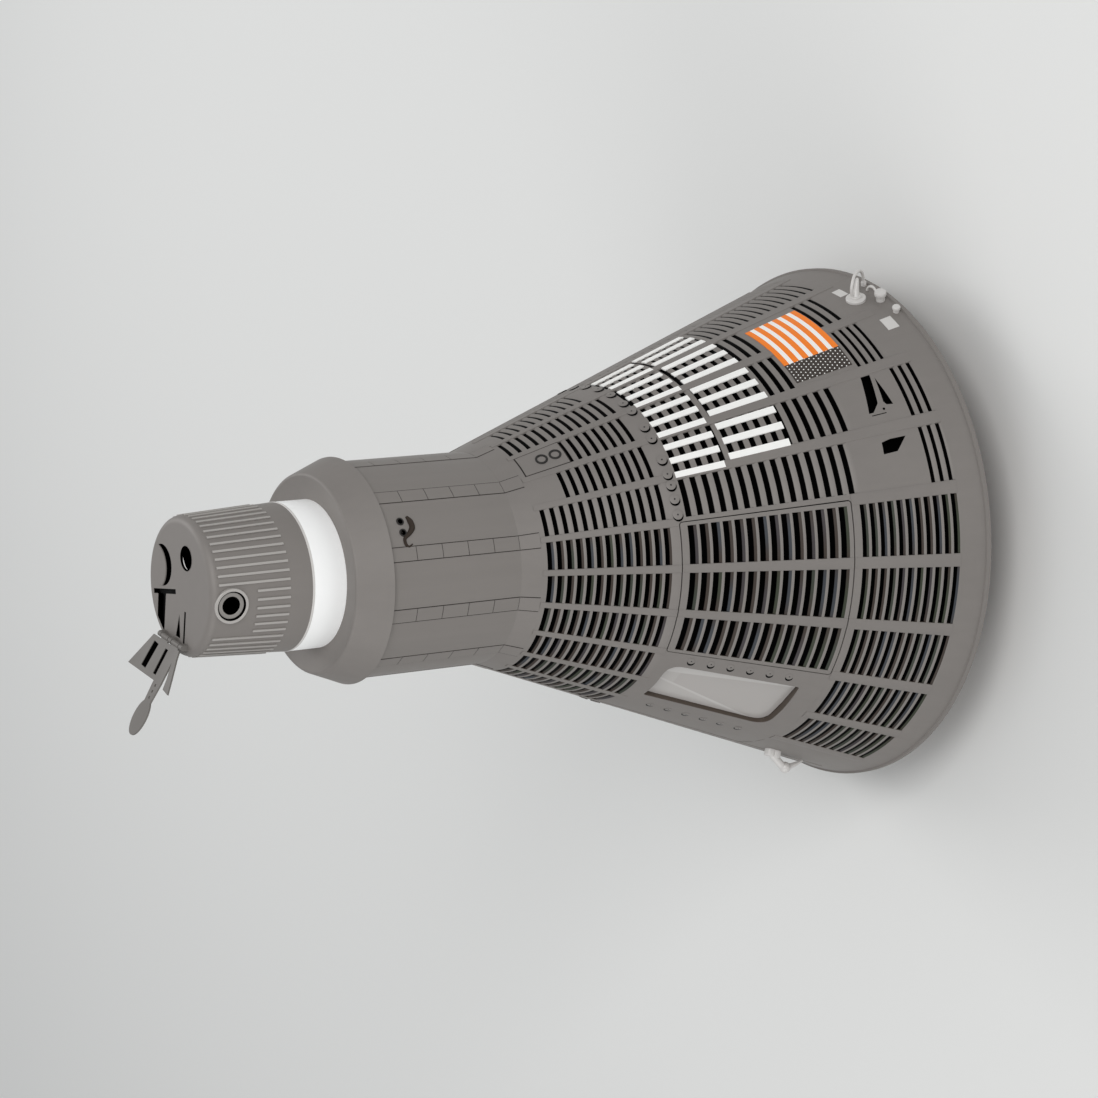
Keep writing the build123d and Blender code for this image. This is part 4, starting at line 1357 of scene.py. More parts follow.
@dataclass
class Hatch:
    """The hatch's own louvres and rails, inside a seam with rounded corners.

    The fixed skin in the seam's corners reaches under its neighbours by an angle and a height, lap.
    """

    skin: LouvredSkin
    corner: float = 0.008
    corner_points: int = 9
    fill_proud: float = 0.0005
    lap: Pair = (0.4, 0.004)

    def build(self, shop: Workshop) -> None:
        """Makes the three columns, the rails on them and the fixed skin in the seam's corners.

        Args:
            shop: The workshop that makes the pieces.
        """
        gap = math.degrees(HATCH_GAP / self.skin.wall.radius(HATCH_AFT))
        ends = (HATCH_AFT + HATCH_GAP, HATCH_TOP - HATCH_GAP)
        half, low = self.skin.plate_half, -SECTOR / 2 + gap
        columns = [
            self.skin.column(-1, ends, (low, half), (MID,), self.corner),
            self.skin.column(0, ends, (-half, half), (MID,)),
            self.skin.column(1, ends, (-half, -low), (MID,), self.corner),
        ]
        shop.piece("hatch_skin", join(columns), SKIN, "hatch", ("hatch_shingles",))
        rails = [self.skin.rail(side * SECTOR / 2, ends) for side in (-1, 1)]
        shop.piece("hatch_rail_bars", join(rails), SKIN, "hatch", ("hatch_rails",))
        corners = [self.fill(side, end) for side in (-1, 1) for end in (0, 1)]
        shop.piece("seam_corners", join(corners), SKIN)

    def fill(self, side: int, end: int) -> Patch:
        """Makes the fixed skin outside one rounded corner of the seam.

        Args:
            side: -1 or 1, the side of the hatch.
            end: 0 for the lower end, 1 for the upper end.

        Returns:
            A plate from the square corner to a quarter circle.
        """
        wall = self.skin.wall
        s = (HATCH_AFT, HATCH_TOP)[end]
        radius = self.corner + HATCH_GAP
        inward = 1 - 2 * end
        a = np.linspace(0, math.pi / 2, self.corner_points)
        reach = np.degrees(radius * (1 - np.cos(a)) / wall.radius(s))
        arc = np.stack([side * (HATCH_HALF - reach), s + inward * radius * (1 - np.sin(a))], axis=-1)
        point = np.broadcast_to((side * (HATCH_HALF + self.lap[0]), s - inward * self.lap[1]), arc.shape)
        flat = np.stack([point, arc, arc], axis=1)
        flat = flat if side * inward > 0 else flat[::-1]
        out = np.array([self.fill_proud, self.fill_proud, PLATE_FOOT])
        return grid(wall.place(flat[..., 0], flat[..., 1], out))


@dataclass
class Ports:
    """The two plain plates with ports, right of the hatch, and the latch beside the larger port.

    near, sliver and far are the corners of the ports, and split the heights at the left and right side where
    the second plate is divided between its two ports.
    """

    skin: LouvredSkin
    sink: float = 0.014
    near: tuple[Pair, ...] = ((37.5, 0.323), (38.0, 0.292), (38.0, 0.237), (34.7, 0.278), (34.5, 0.327))
    sliver: tuple[Pair, ...] = ((54.5, 0.256), (46.4, 0.238), (46.7, 0.260), (47.6, 0.267))
    far: tuple[Pair, ...] = ((55.6, 0.300), (55.6, 0.267), (47.6, 0.287), (45.4, 0.314), (45.4, 0.330))
    split: Pair = (0.2904, 0.2574)
    latch: Pair = (45.76, 0.2752)
    latch_radius: float = 0.0045
    slit_psi: float = 44.65
    slit_ends: Pair = (0.272, 0.323)
    slit_half: float = 0.10
    slit_proud: float = 0.0008
    slit_soft: float = 0.03

    def build(self, shop: Workshop) -> None:
        """Makes the two plates, each with its ports sunk into it, and the latch.

        Args:
            shop: The workshop that makes the pieces.
        """
        wall = self.skin.wall
        half = self.skin.plate_half
        parts = []
        for k, holes in {2: (self.near,), 3: (self.sliver, self.far)}.items():
            s0, s1 = self.skin.gaps[k]
            left, right = k * SECTOR - half, k * SECTOR + half
            cut = tuple(zip((left, right), self.split))
            for i, hole in enumerate(holes):
                low = ((left, s0), (right, s0)) if i == 0 else cut
                high = ((left, s1), (right, s1)) if i == len(holes) - 1 else cut
                outer = np.array([low[0], low[1], high[1], high[0]])
                # The ports' floors are painted black as shade
                parts.append(holed_plate(wall, outer, np.array(hole), self.sink))
        shop.piece("port_plates", join(parts), SKIN, replaces=("port_panel",))
        dot = self.latch_radius * np.array([[1.0, -0.2], [1.0, 0.2], [0.0, 0.2]])
        psi, s = self.latch
        slit = wall.strip(
            self.slit_psi, self.slit_half, self.slit_ends, self.slit_proud, self.slit_soft, TRIM_FOOT
        )
        latch = [slit, turned(dot, wall.place([psi], [s]), wall.axes([psi]))]
        # The latch's slit and dot take the black used for painted shade
        shop.piece("port_latch", join(latch), PAINTED_SHADE_BLACK)


@dataclass
class Window:
    """The flat window sunk into the skin: the plate round it, the dark reveal, the pane and the bolts.

    lap is how far the reveal reaches under the skin, play the gap round its inside, pane_play the gap round
    the pane, bevel the size of the pane's softened edge and flat how far inside its middle begins.
    """

    wall: Wall
    psi: float = -40.91
    half: float = 10.3
    aft: float = 0.551
    top: float = 1.022
    sectors: int = 3
    round_big: float = 0.060
    round_small: float = 0.010
    round_points: int = 11
    sunk: float = 0.028
    skin_sink: float = 0.004
    skin_rings: int = 9
    lap: float = 0.001
    play: float = 0.0008
    pane: float = 0.010
    pane_play: float = 0.001
    bevel: float = 0.002
    flat: float = 0.10
    bolt_rows: Pair = (-27.2, -57.8)
    bolt_first: float = 0.605
    bolt_pitch: float = 0.070
    bolts: int = 6
    bolt_radius: float = 0.0135
    # How far each bolt's painted shadow shows beside its head, as a share of its radius
    bolt_shadow_reach: float = 0.56

    @property
    def middle(self) -> float:
        """Height of the window's middle, where its plane touches the cone."""
        return (self.aft + self.top) / 2

    def rise(self, s: np.ndarray, turn: np.ndarray) -> np.ndarray:
        """Returns how far up the window's plane a point of the cone moves by its turn from the middle."""
        fall = self.wall.radius(self.middle) - self.wall.radius(s) * np.cos(turn)
        return fall * math.sin(self.wall.slope)

    def outline(self, inset: float = 0.0) -> np.ndarray:
        """Works out the outline in the window's plane, with two opposite corners rounded more.

        Args:
            inset: How far each point moves towards the middle.

        Returns:
            Points around and up the slope from the window's middle.
        """
        s = np.array([self.aft, self.aft, self.aft, self.top, self.top, self.top])
        a = np.radians(self.half * np.array([-1, 0, 1, 1, 0, -1]))
        up = self.rise(s, a) + (s - self.middle) * math.cos(self.wall.slope)
        corners = np.stack([self.wall.radius(s) * np.sin(a), up], axis=-1)
        rounds = {0: self.round_big, 2: self.round_small, 3: self.round_big, 5: self.round_small}
        t = np.linspace(0, 1, self.round_points)[:, None]
        points = []
        for i, corner in enumerate(corners):
            if i not in rounds:
                points.append(corner[None])
                continue
            before, after = corners[i - 1] - corner, corners[(i + 1) % len(corners)] - corner
            before, after = before / np.linalg.norm(before), after / np.linalg.norm(after)
            cut = rounds[i] / math.tan(math.acos(np.clip(before @ after, -1, 1)) / 2)
            points.append(corner + cut * (before * (1 - t) ** 2 + after * t**2))
        ring = np.vstack(points)
        inward = ring - ring.mean(axis=0)
        return ring - inset * inward / np.linalg.norm(inward, axis=1, keepdims=True)

    def on_skin(self, ring: np.ndarray) -> np.ndarray:
        """Finds where lines square to the window's plane meet the cone, by repeated correction.

        Args:
            ring: Points in the window's plane.

        Returns:
            Angle and height of each point on the cone.
        """
        corrections = 6
        s = self.middle + ring[:, 1] / math.cos(self.wall.slope)
        for _ in range(corrections):
            turn = np.arcsin(ring[:, 0] / self.wall.radius(s))
            s = self.middle + (ring[:, 1] - self.rise(s, turn)) / math.cos(self.wall.slope)
        return np.stack([self.psi + np.degrees(turn), s], axis=-1)

    def in_plane(self, ring: np.ndarray, height: float) -> np.ndarray:
        """Returns points of the window's plane at a height above the cone's tangent."""
        around, up, out = self.wall.axes(self.psi)
        return self.wall.place(self.psi, self.middle) + ring[:, :1] * around + ring[:, 1:] * up + height * out

    def build(self, shop: Workshop) -> None:
        """Makes the plate, reveal, pane and bolts.

        Args:
            shop: The workshop that makes the pieces.
        """
        far, near = -HATCH_HALF - self.sectors * SECTOR + SEAM, -HATCH_HALF - TIGHT_SEAM
        outer = np.array([(far, HATCH_AFT), (near, HATCH_AFT), (near, HATCH_TOP), (far, HATCH_TOP)])
        hole = self.on_skin(self.outline())
        plate = holed_plate(self.wall, outer, hole, self.skin_sink, self.skin_rings, blind=False)
        shop.piece("window_plate", plate, SKIN, replaces=("window_panel",))
        self.add_reveal(shop)
        self.add_pane(shop)
        s = np.tile(self.bolt_first + self.bolt_pitch * np.arange(self.bolts), len(self.bolt_rows))
        psi = np.repeat(self.bolt_rows, self.bolts)
        heads = bolt_heads(self.wall, psi, s, self.bolt_radius, shadow_reach=self.bolt_shadow_reach)
        shop.piece("window_bolts", heads, TINT_AND_PAINTED_SHADE)

    def add_reveal(self, shop: Workshop) -> None:
        """Makes the dark wall from the skin down to the pane.

        Args:
            shop: The workshop that makes the pieces.
        """
        rings = []
        for inset, drop in ((-self.lap, -self.lap), (self.play, -2 * self.lap)):
            place = self.on_skin(self.outline(inset))
            rings.append(self.wall.place(place[:, 0], place[:, 1], drop))
        rings.append(self.in_plane(self.outline(self.play), -self.sunk - self.lap))
        shop.piece("window_reveal", grid(np.stack(rings, axis=1), wrap=True), DARK_TRIM)
        shop.dress(DARK_TRIM, "window_frame")

    def add_pane(self, shop: Workshop) -> None:
        """Makes the pane with a softened edge, and its place across and along as values.

        Args:
            shop: The workshop that makes the pieces.
        """
        levels = (
            (self.pane_play, self.sunk + self.pane),
            (self.pane_play, self.sunk + self.bevel),
            (self.pane_play + self.bevel, self.sunk),
            (self.flat, self.sunk),
        )
        rings = [(self.outline(inset), -drop) for inset, drop in levels]
        rings.append((np.broadcast_to(rings[-1][0].mean(axis=0), rings[-1][0].shape), -self.sunk))
        points = np.stack([self.in_plane(ring, height) for ring, height in rings], axis=1)
        size = np.abs(rings[0][0]).max(axis=0)
        flat = np.stack([ring for ring, _ in rings], axis=1) / size
        pane = grid(points, wrap=True, across=flat[..., 0], along=flat[..., 1])
        shop.piece("window_glass", pane, GLASS, replaces=("window_pane",))


@dataclass
class Markings:
    """Thin painted marks on the skin: striped patch, rows of index bars, plain blocks at the rim.

    patch, bar_rows and blocks are low angle, high angle, low height, high height.
    """

    wall: Wall
    patch: Span = (60.0, 86.0, 0.300, 0.507)
    patch_points: tuple[int, int] = (27, 9)
    patch_proud: float = 0.0026
    bar_rows: tuple[Span, ...] = ((41.2, 101.7, 0.858, 1.030), (43.2, 103.7, 0.624, 0.836))
    bars: int = 12
    bar_half: float = 1.15
    bar_proud: float = 0.0030
    blocks: tuple[Span, ...] = ((83.0, 86.5, 0.104, 0.136), (66.0, 70.0, 0.068, 0.110))
    block_proud: float = 0.0012
    soft: float = 0.08

    def build(self, shop: Workshop) -> None:
        """Makes the patch, the bars and the blocks.

        Args:
            shop: The workshop that makes the pieces.
        """
        rows, columns = self.patch_points
        psi, s = np.linspace(*self.patch[:2], rows), np.linspace(*self.patch[2:], columns)
        across, along = np.meshgrid(np.linspace(0, 1, rows), np.linspace(0, 1, columns), indexing="ij")
        out = np.full(across.shape, self.patch_proud)
        shop.piece("striped_patch", self.wall.plate(psi, s, out, 0.0, across=across, along=along), PATCH)
        bars = [
            self.wall.strip(psi, self.bar_half, (s0, s1), self.bar_proud, self.soft, MARK_FOOT)
            for first, last, s0, s1 in self.bar_rows
            for psi in np.linspace(first, last, self.bars)
        ]
        shop.piece("index_bars", join(bars), PAINT)
        blocks = [
            self.wall.strip(
                (low + high) / 2, (high - low) / 2, (s0, s1), self.block_proud, self.soft, MARK_FOOT
            )
            for low, high, s0, s1 in self.blocks
        ]
        shop.piece("rim_blocks", join(blocks), PALE_FITTING)


@dataclass
class ConeFittings:
    """What is fastened on the cone: the band's bolts and the plate with two nozzles.

    far_bolts are the first and last angle and the number of the bolts round the far side. The dark joint
    round the plate is wider by joint_turn to each side and longer by joint_end at each end. nozzle_size is
    the radius of the bore, and the width and height of its lip.
    """

    wall: Wall
    band: float = 1.054
    near_bolts: tuple[float, ...] = (27.2, 32.8, 38.0, 42.2, 48.0, 57.3, 63.0, 72.4, 78.2)
    far_bolts: tuple[float, float, int] = (86.4, 282.5, 25)
    bolt_radius: float = 0.0175
    bolt_lift: float = 0.0021
    plate_psi: float = 65.45
    plate_half: float = 6.4
    plate_ends: Pair = (1.338, 1.492)
    plate_proud: float = 0.003
    plate_soft: float = 0.25
    joint_turn: float = 0.4
    joint_end: float = 0.004
    joint_proud: float = 0.0012
    joint_soft: float = 0.1
    nozzle_middle: float = 1.393
    nozzle_pitch: float = 0.052
    nozzle_size: Triple = (0.0145, 0.008, 0.005)

    def build(self, shop: Workshop) -> None:
        """Makes the bolts, the plate on its dark joint and the nozzles.

        Args:
            shop: The workshop that makes the pieces.
        """
        psi = np.concatenate([self.near_bolts, np.linspace(*self.far_bolts)])
        heads = bolt_heads(self.wall, psi, np.full(len(psi), self.band), self.bolt_radius, self.bolt_lift)
        shop.piece("band_bolts", heads, TINT_AND_PAINTED_SHADE)
        s0, s1 = self.plate_ends
        ends, wide = (s0 - self.joint_end, s1 + self.joint_end), self.plate_half + self.joint_turn
        joint = self.wall.strip(
            self.plate_psi, wide, ends, self.joint_proud, self.joint_soft, -self.joint_end
        )
        shop.piece("nozzle_plate_joint", joint, DARK_SEAM)
        plate = self.wall.strip(
            self.plate_psi, self.plate_half, self.plate_ends, self.plate_proud, self.plate_soft, 0.0
        )
        shop.piece("nozzle_plate", plate, PLAIN_SKIN, replaces=("thruster_panel",))
        half = self.nozzle_pitch * math.cos(self.wall.slope) / 2
        places = self.wall.place(self.plate_psi, self.nozzle_middle + np.array([-half, half]))
        axes = self.wall.axes(np.full(2, self.plate_psi))
        shop.piece("nozzles", nozzle(self.nozzle_size, places, axes), TINT_AND_PAINTED_SHADE)


@dataclass
class RecoverySection:
    """Collar, cylinder with its strips and jets, flare and white band.

    The dark joint under a strip is wider by joint_turn to each side. jet_size is the radius of the bore, and
    the width and height of its lip. guard is the angle, the distance below the top and the radius along the
    guard below a pair of jets; a second guard stands on the other side.
    """

    cone: Wall
    foot: float
    top: float
    radius: float = 0.370
    strips: int = 11
    lengths: int = 5
    strip_width: float = 0.047
    gap: float = 0.0024
    proud: float = 0.0018
    soft: float = 0.12
    joint_proud: float = 0.0008
    joint_soft: float = 0.1
    joint_turn: float = 0.36
    jet_psi: tuple[float, ...] = (35.9, 42.1, 215.9, 222.1)
    jet_below: float = 0.065
    jet_size: Triple = (0.0088, 0.005, 0.003)
    guard: tuple[Triple, ...] = (
        (44.6, 0.094, 0.005), (41.7, 0.102, 0.0105), (38.1, 0.103, 0.0105), (35.0, 0.086, 0.008),
        (32.8, 0.067, 0.006), (29.7, 0.066, 0.0055), (28.3, 0.077, 0.004), (29.5, 0.092, 0.002),
    )

    def build(self, shop: Workshop) -> None:
        """Dresses the round pieces and adds strips, jets and the guards below them.

        Args:
            shop: The workshop that makes the pieces.
        """
        shop.dress(PLAIN_SKIN, "recovery_cylinder", "flare")
        shop.dress(WHITE_BAND, "antenna_band")
        wall = Wall(self.cone.rim_z, self.radius, 0.0)
        self.add_strips(shop, wall)
        psi = np.array(self.jet_psi)
        s = np.full(len(psi), self.top - self.jet_below)
        shop.piece("cylinder_jets", nozzle(self.jet_size, wall.place(psi, s), wall.axes(psi)), TINT_AND_PAINTED_SHADE)
        turn, drop, girth = np.array(self.guard).T
        paths = [smooth_path(wall.place(turn + a, self.top - drop)) for a in (0.0, 180.0)]
        guards = [tube(path, spread_along(path, girth)) for path in paths]
        shop.piece("jet_guards", join(guards), SCORCH)

    def add_strips(self, shop: Workshop, wall: Wall) -> None:
        """Makes the strips up the cylinder in equal lengths, their ends on the collar and the joints below.

        Args:
            shop: The workshop that makes the pieces.
            wall: The cylinder.
        """
        angles = (2 * np.arange(self.strips) + 1.5) * SECTOR
        half = math.degrees(self.strip_width / 2 / self.radius)
        pitch = (self.top - self.foot - self.gap) / self.lengths
        lows = self.foot + self.gap + pitch * np.arange(self.lengths)
        spans = [(s, s + pitch - self.gap) for s in lows]
        below = (self.foot - COLLAR + self.gap, self.foot)
        bars = [wall.strip(a, half, ends, self.proud, self.soft, TRIM_FOOT) for a in angles for ends in spans]
        bars += [self.cone.strip(a, half, below, self.proud, self.soft, TRIM_FOOT) for a in angles]
        shop.piece("cylinder_bars", join(bars), PLAIN_SKIN, replaces=("cylinder_strips",))
        wide, whole = half + self.joint_turn, (self.foot, self.top + TRIM_FOOT)
        joints = [
            side.strip(a, wide, ends, self.joint_proud, self.joint_soft, TRIM_FOOT)
            for side, ends in ((wall, whole), (self.cone, below))
            for a in angles
        ]
        shop.piece("cylinder_bar_joints", join(joints), DARK_SEAM)


@dataclass
class NoseCanister:
    """The ribbed canister: its rim, scanner, nose port, mortar cap and flap.

    Each of the flap's slots is its place across, its width and its turn in degrees; the black sheet of
    painted shade in a slot laps its edges by shade_sheet_lap and is shade_sheet_half thick to each side. The
    painted highlight in the port, a pale sliver, runs from an angle through a turn in degrees, with its reach
    and width as shares of the port's radius.
    """

    foot: float
    face: float
    girth: float
    shoulder: float = 0.234
    shoulder_drop: float = 0.024
    scanner_above: float = 0.300
    ring_pale: Colour = (174, 170, 166)
    ring_grey: Colour = (140, 136, 132)
    port: Pair = (0.108, -0.036)
    port_radius: float = 0.043
    # The painted highlight inside the port
    highlight_from: float = 95.0
    highlight_turn: float = 105.0
    highlight_reach: Pair = (0.60, 0.86)
    highlight_width: float = 0.16
    highlight_drop: float = 0.002
    highlight_points: int = 17
    hinge_x: float = -0.186
    hinge_rise: float = 0.018
    flap_tilt: float = 27.0
    slot_middle: float = 0.078
    slot_length: float = 0.092
    slots: tuple[Triple, ...] = ((-0.078, 0.034, -4.0), (0.002, 0.020, 0.0))
    # Black sheets in the flap's open slots, painted shade
    shade_sheet_lap: float = 0.0004
    shade_sheet_half: float = 0.0006

    def build(self, shop: Workshop) -> None:
        """Dresses the canister, cap and flap, and makes the rim, scanner and port.

        Args:
            shop: The workshop that makes the pieces.
        """
        taper = (self.girth - self.shoulder) / (self.face - self.shoulder_drop - self.foot)
        barrel = {"face": self.face, "lip": self.foot, "girth": self.girth, "taper": taper}
        finish = NoseFinish("canister_skin_painted_shade", GREY, 0.58, 0.15, mottle=0.12, **barrel)
        shop.dress(finish, "canister", "mortar_cap")
        shop.dress(STEEL, "flap_bracket", "flap_plate", "flap_strip")
        self.add_slot_shade_sheets(shop)
        rim = MM * np.array([[-1.0, 0.4], [0.8, 0.4], [0.8, 7.5], [-1.0, 8.5]])
        shop.piece("canister_rim", lathe(rim + (self.girth, self.foot)), PALE_FITTING)
        self.add_scanner(shop, Wall(self.foot, self.girth, math.atan(taper)))
        self.add_port(shop)

    def add_slot_shade_sheets(self, shop: Workshop) -> None:
        """Makes black sheets of painted shade inside the flap's slots, each a flat slab turned in the flap's
        plane.

        Args:
            shop: The workshop that makes the pieces.
        """
        tilt = math.radians(self.flap_tilt)
        along = np.array([-math.cos(tilt), 0.0, math.sin(tilt)])
        across = np.array([0.0, -1.0, 0.0])
        thick = self.shade_sheet_half * np.array([math.sin(tilt), 0.0, math.cos(tilt)])
        origin = np.array([self.hinge_x, 0.0, self.face + self.hinge_rise])
        parts = []
        for v, width, turn in self.slots:
            a = math.radians(turn)
            du, dv = np.array([math.cos(a), math.sin(a)]), np.array([-math.sin(a), math.cos(a)])
            ends = np.array([-1, 1, 1, -1])[:, None] * (self.slot_length / 2 + self.shade_sheet_lap) * du
            sides = np.array([-1, -1, 1, 1])[:, None] * (width / 2 + self.shade_sheet_lap) * dv
            flat = np.array([self.slot_middle, v]) + ends + sides
            ring = origin + flat[:, :1] * along + flat[:, 1:] * across
            middle = np.broadcast_to(ring.mean(axis=0), ring.shape)
            layers = [middle - thick, ring - thick, ring + thick, middle + thick]
            parts.append(grid(np.stack(layers, axis=1), wrap=True))
        shop.piece("flap_slot_shade_sheets", join(parts), PAINTED_SHADE_BLACK, "flap")

    def add_scanner(self, shop: Workshop, barrel: Wall) -> None:
        """Makes the scanner: pale ring, groove painted black as shade, grey ring and bore painted black as
        shade.

        Args:
            shop: The workshop that makes the pieces.
            barrel: The canister's side.
        """
        profile = MM * np.array([
            [60, -12], [60, 3.6], [58.6, 5], [51.4, 5], [50.2, 4], [50, 3.8], [50, -12], [45, -12],
            [45, -3.2], [44.8, -3.0], [44, -2], [32.2, -2], [31.2, -3], [31, -3.2], [31, -56], [0, -56],
        ])
        ring = tints(*[self.ring_pale] * 6, *[BLACK] * 3, *[self.ring_grey] * 4, *[BLACK] * 3)
        # Depth 1 paints the groove and the bore black as shade
        depth = np.array([0] * 5 + [1] * 4 + [0] * 4 + [1] * 3, float)
        place, axes = barrel.place([0.0], [self.scanner_above]), barrel.axes([0.0])
        made = turned(profile, place, axes, 64, tint=ring, depth=depth)
        shop.piece("scanner_rings", made, TINT_AND_PAINTED_SHADE, replaces=("scanner",))

    def add_port(self, shop: Workshop) -> None:
        """Makes the port in the nose face: a cup painted black inside as shade, with a pale sliver of painted
        highlight.

        Args:
            shop: The workshop that makes the pieces.
        """
        r = self.port_radius
        rim = MM * np.array([[0, -4], [0, 0.6], [-1, 0.8], [-1.2, 0.6], [-1.2, -30]]) + (r, 0.0)
        profile = np.vstack([rim, [0.0, rim[-1, 1]]])
        place = np.array([[*self.port, self.face]])
        # Depth 1 paints the inside of the cup black as shade
        depth = np.array([0, 0, 0, 1, 1, 1.0])
        cup = turned(profile, place, np.eye(3)[None], 48, tint=tints(*[GREY] * len(profile)), depth=depth)
        # A pale sliver below the face: painted highlight inside the cup
        t = np.linspace(0, 1, self.highlight_points)
        a = np.radians(self.highlight_from + self.highlight_turn * t)
        reach = r * np.interp(t, [0, 1], self.highlight_reach)
        width = self.highlight_width * r * np.sin(math.pi * t)
        drop = np.full(len(t), -self.highlight_drop)
        rings = [np.stack([q * np.cos(a), q * np.sin(a), drop], axis=-1) for q in (reach - width, reach)]
        shade = grid(np.stack(rings, axis=0) + place[0], tint=np.broadcast_to(tints(PALE), (2, len(t), 4)))
        shop.piece("nose_port_cup", join([cup, shade]), TINT_AND_PAINTED_SHADE, replaces=("nose_port",))


@dataclass
class SkirtFittings:
    """Umbilical, knobs at the rim and the side strut, with soft round forms.

    Each knob is its angle, radius and height. Points of a fitting are millimetres around, up the slope and
    outwards from its place on the skin.
    """

    wall: Wall
    umbilical_psi: float = 79.7
    umbilical_s: float = 0.107
    hose_radius: float = 0.0058
    boss: Triple = (63, -80, -4)
    knobs: tuple[Triple, ...] = ((76.0, 0.022, 0.040), (70.5, 0.015, 0.026))
    knob_gap: float = 0.003
    link_radius: float = 0.005
    strut_psi: float = -69.95
    strut_s: float = 0.350
    ball: Triple = (0, -67, 50)
    ball_radius: float = 0.021
    neck_radii: Pair = (0.016, 0.014)
    horn_radii: Pair = (0.013, 0.004)

    def local(self, psi: float, s: float, points: np.ndarray) -> np.ndarray:
        """Returns points given around, up the slope and outwards from a place on the skin."""
        return self.wall.place(psi, s) + points @ self.wall.axes(psi)

    def build(self, shop: Workshop) -> None:
        """Makes the three fittings.

        Args:
            shop: The workshop that makes the pieces.
        """
        shop.piece("umbilical_plug", self.umbilical(), PALE_FITTING, replaces=("umbilical",))
        shop.piece("rim_knob_heads", self.knob_heads(), PALE_FITTING, replaces=("rim_knobs",))
        shop.piece("side_strut_cast", self.strut(), PALE_FITTING, replaces=("side_strut",))

    def umbilical(self) -> Patch:
        """Makes two stepped discs, the leaning stem, the looped hose and its boss.

        Returns:
            The umbilical as one patch.
        """
        psi, s = self.umbilical_psi, self.umbilical_s
        discs = MM * np.array([
            [37, -2], [37, 7.5], [35.5, 9.2], [24, 9.4], [22, 10.5], [22, 16.5], [20.5, 18], [0, 18],
        ])
        stem = smooth_path(MM * np.array([[0, 0, 10], [6, -7, 26], [13, -15, 45], [24, -28, 70]]))
        share, radii = np.array([[0, 14], [0.85, 8], [0.95, 6.5], [1, 3]]).T
        girth = np.interp(np.linspace(0, 1, len(stem)), share, MM * radii)
        hose = smooth_path(MM * np.array([
            [0, 16, 14], [3, 13, 50], [18, -9, 80.5], [34, -34, 86],
            [52, -62, 71], [62, -78, 44], [63, -80, 10],
        ]))
        boss = MM * np.array([[10, -3], [10, 17], [8.5, 19.5], [0, 20]])
        axes = self.wall.axes([psi])
        return join([
            turned(discs, self.local(psi, s, np.zeros((1, 3))), axes, 40),
            tube(self.local(psi, s, stem), girth),
            tube(self.local(psi, s, hose), np.full(len(hose), self.hose_radius)),
            turned(boss, self.local(psi, s, MM * np.array([self.boss])), axes),
        ])

    def knob_heads(self) -> Patch:
        """Makes each knob, a stem and a domed head scaled by its radius and height, and the first one's link.

        Returns:
            The knobs and the link as one patch.
        """
        outline = np.array([
            [0.75, -0.1], [0.75, 0.5], [0.96, 0.54], [1.0, 0.62],
            [1.0, 0.84], [0.88, 0.96], [0.5, 1.0], [0.0, 1.0],
        ])
        parts = []
        for psi, radius, height in self.knobs:
            s = SHIELD_LIP + radius + self.knob_gap
            place, axes = self.wall.place([psi], [s]), self.wall.axes([psi])
            parts.append(turned(outline * (radius, height), place, axes, 28))
        psi, radius, _ = self.knobs[0]
        bow = MM * np.array([[12, 0, 8], [26, 0, 21], [42, 0, 31], [60, 0, 27], [76, 0, 13], [84, 0, -3]])
        path = self.local(psi, SHIELD_LIP + radius + self.knob_gap, smooth_path(bow))
        return join([*parts, tube(path, np.full(len(path), self.link_radius))])

    def strut(self) -> Patch:
        """Makes the foot of two lobes, the neck to the ball and the horn back towards the skin.

        Returns:
            The strut as one patch.
        """
        psi, s = self.strut_psi, self.strut_s
        lobe = MM * np.array([[20, -4], [20, 20], [17, 25], [0, 26.5]])
        feet = MM * np.array([[0, -13, 0], [0, 13, 0]])
        neck = smooth_path(MM * np.array([[0, 4, 12], [0, -22, 30], [0, -48, 44], self.ball]))
        horn = smooth_path(MM * np.array([self.ball, [0, -92, 38], [0, -118, 22], [0, -138, 8]]))
        a = np.linspace(0, math.pi, 15)
        ball = self.ball_radius * np.stack([np.sin(a), -np.cos(a)], axis=-1)
        axes = self.wall.axes([psi, psi])
        return join([
            turned(lobe, self.local(psi, s, feet), axes, 28),
            tube(self.local(psi, s, neck), np.linspace(*self.neck_radii, len(neck))),
            turned(ball, self.local(psi, s, MM * np.array([self.ball])), axes[:1], 28),
            tube(self.local(psi, s, horn), np.linspace(*self.horn_radii, len(horn))),
        ])


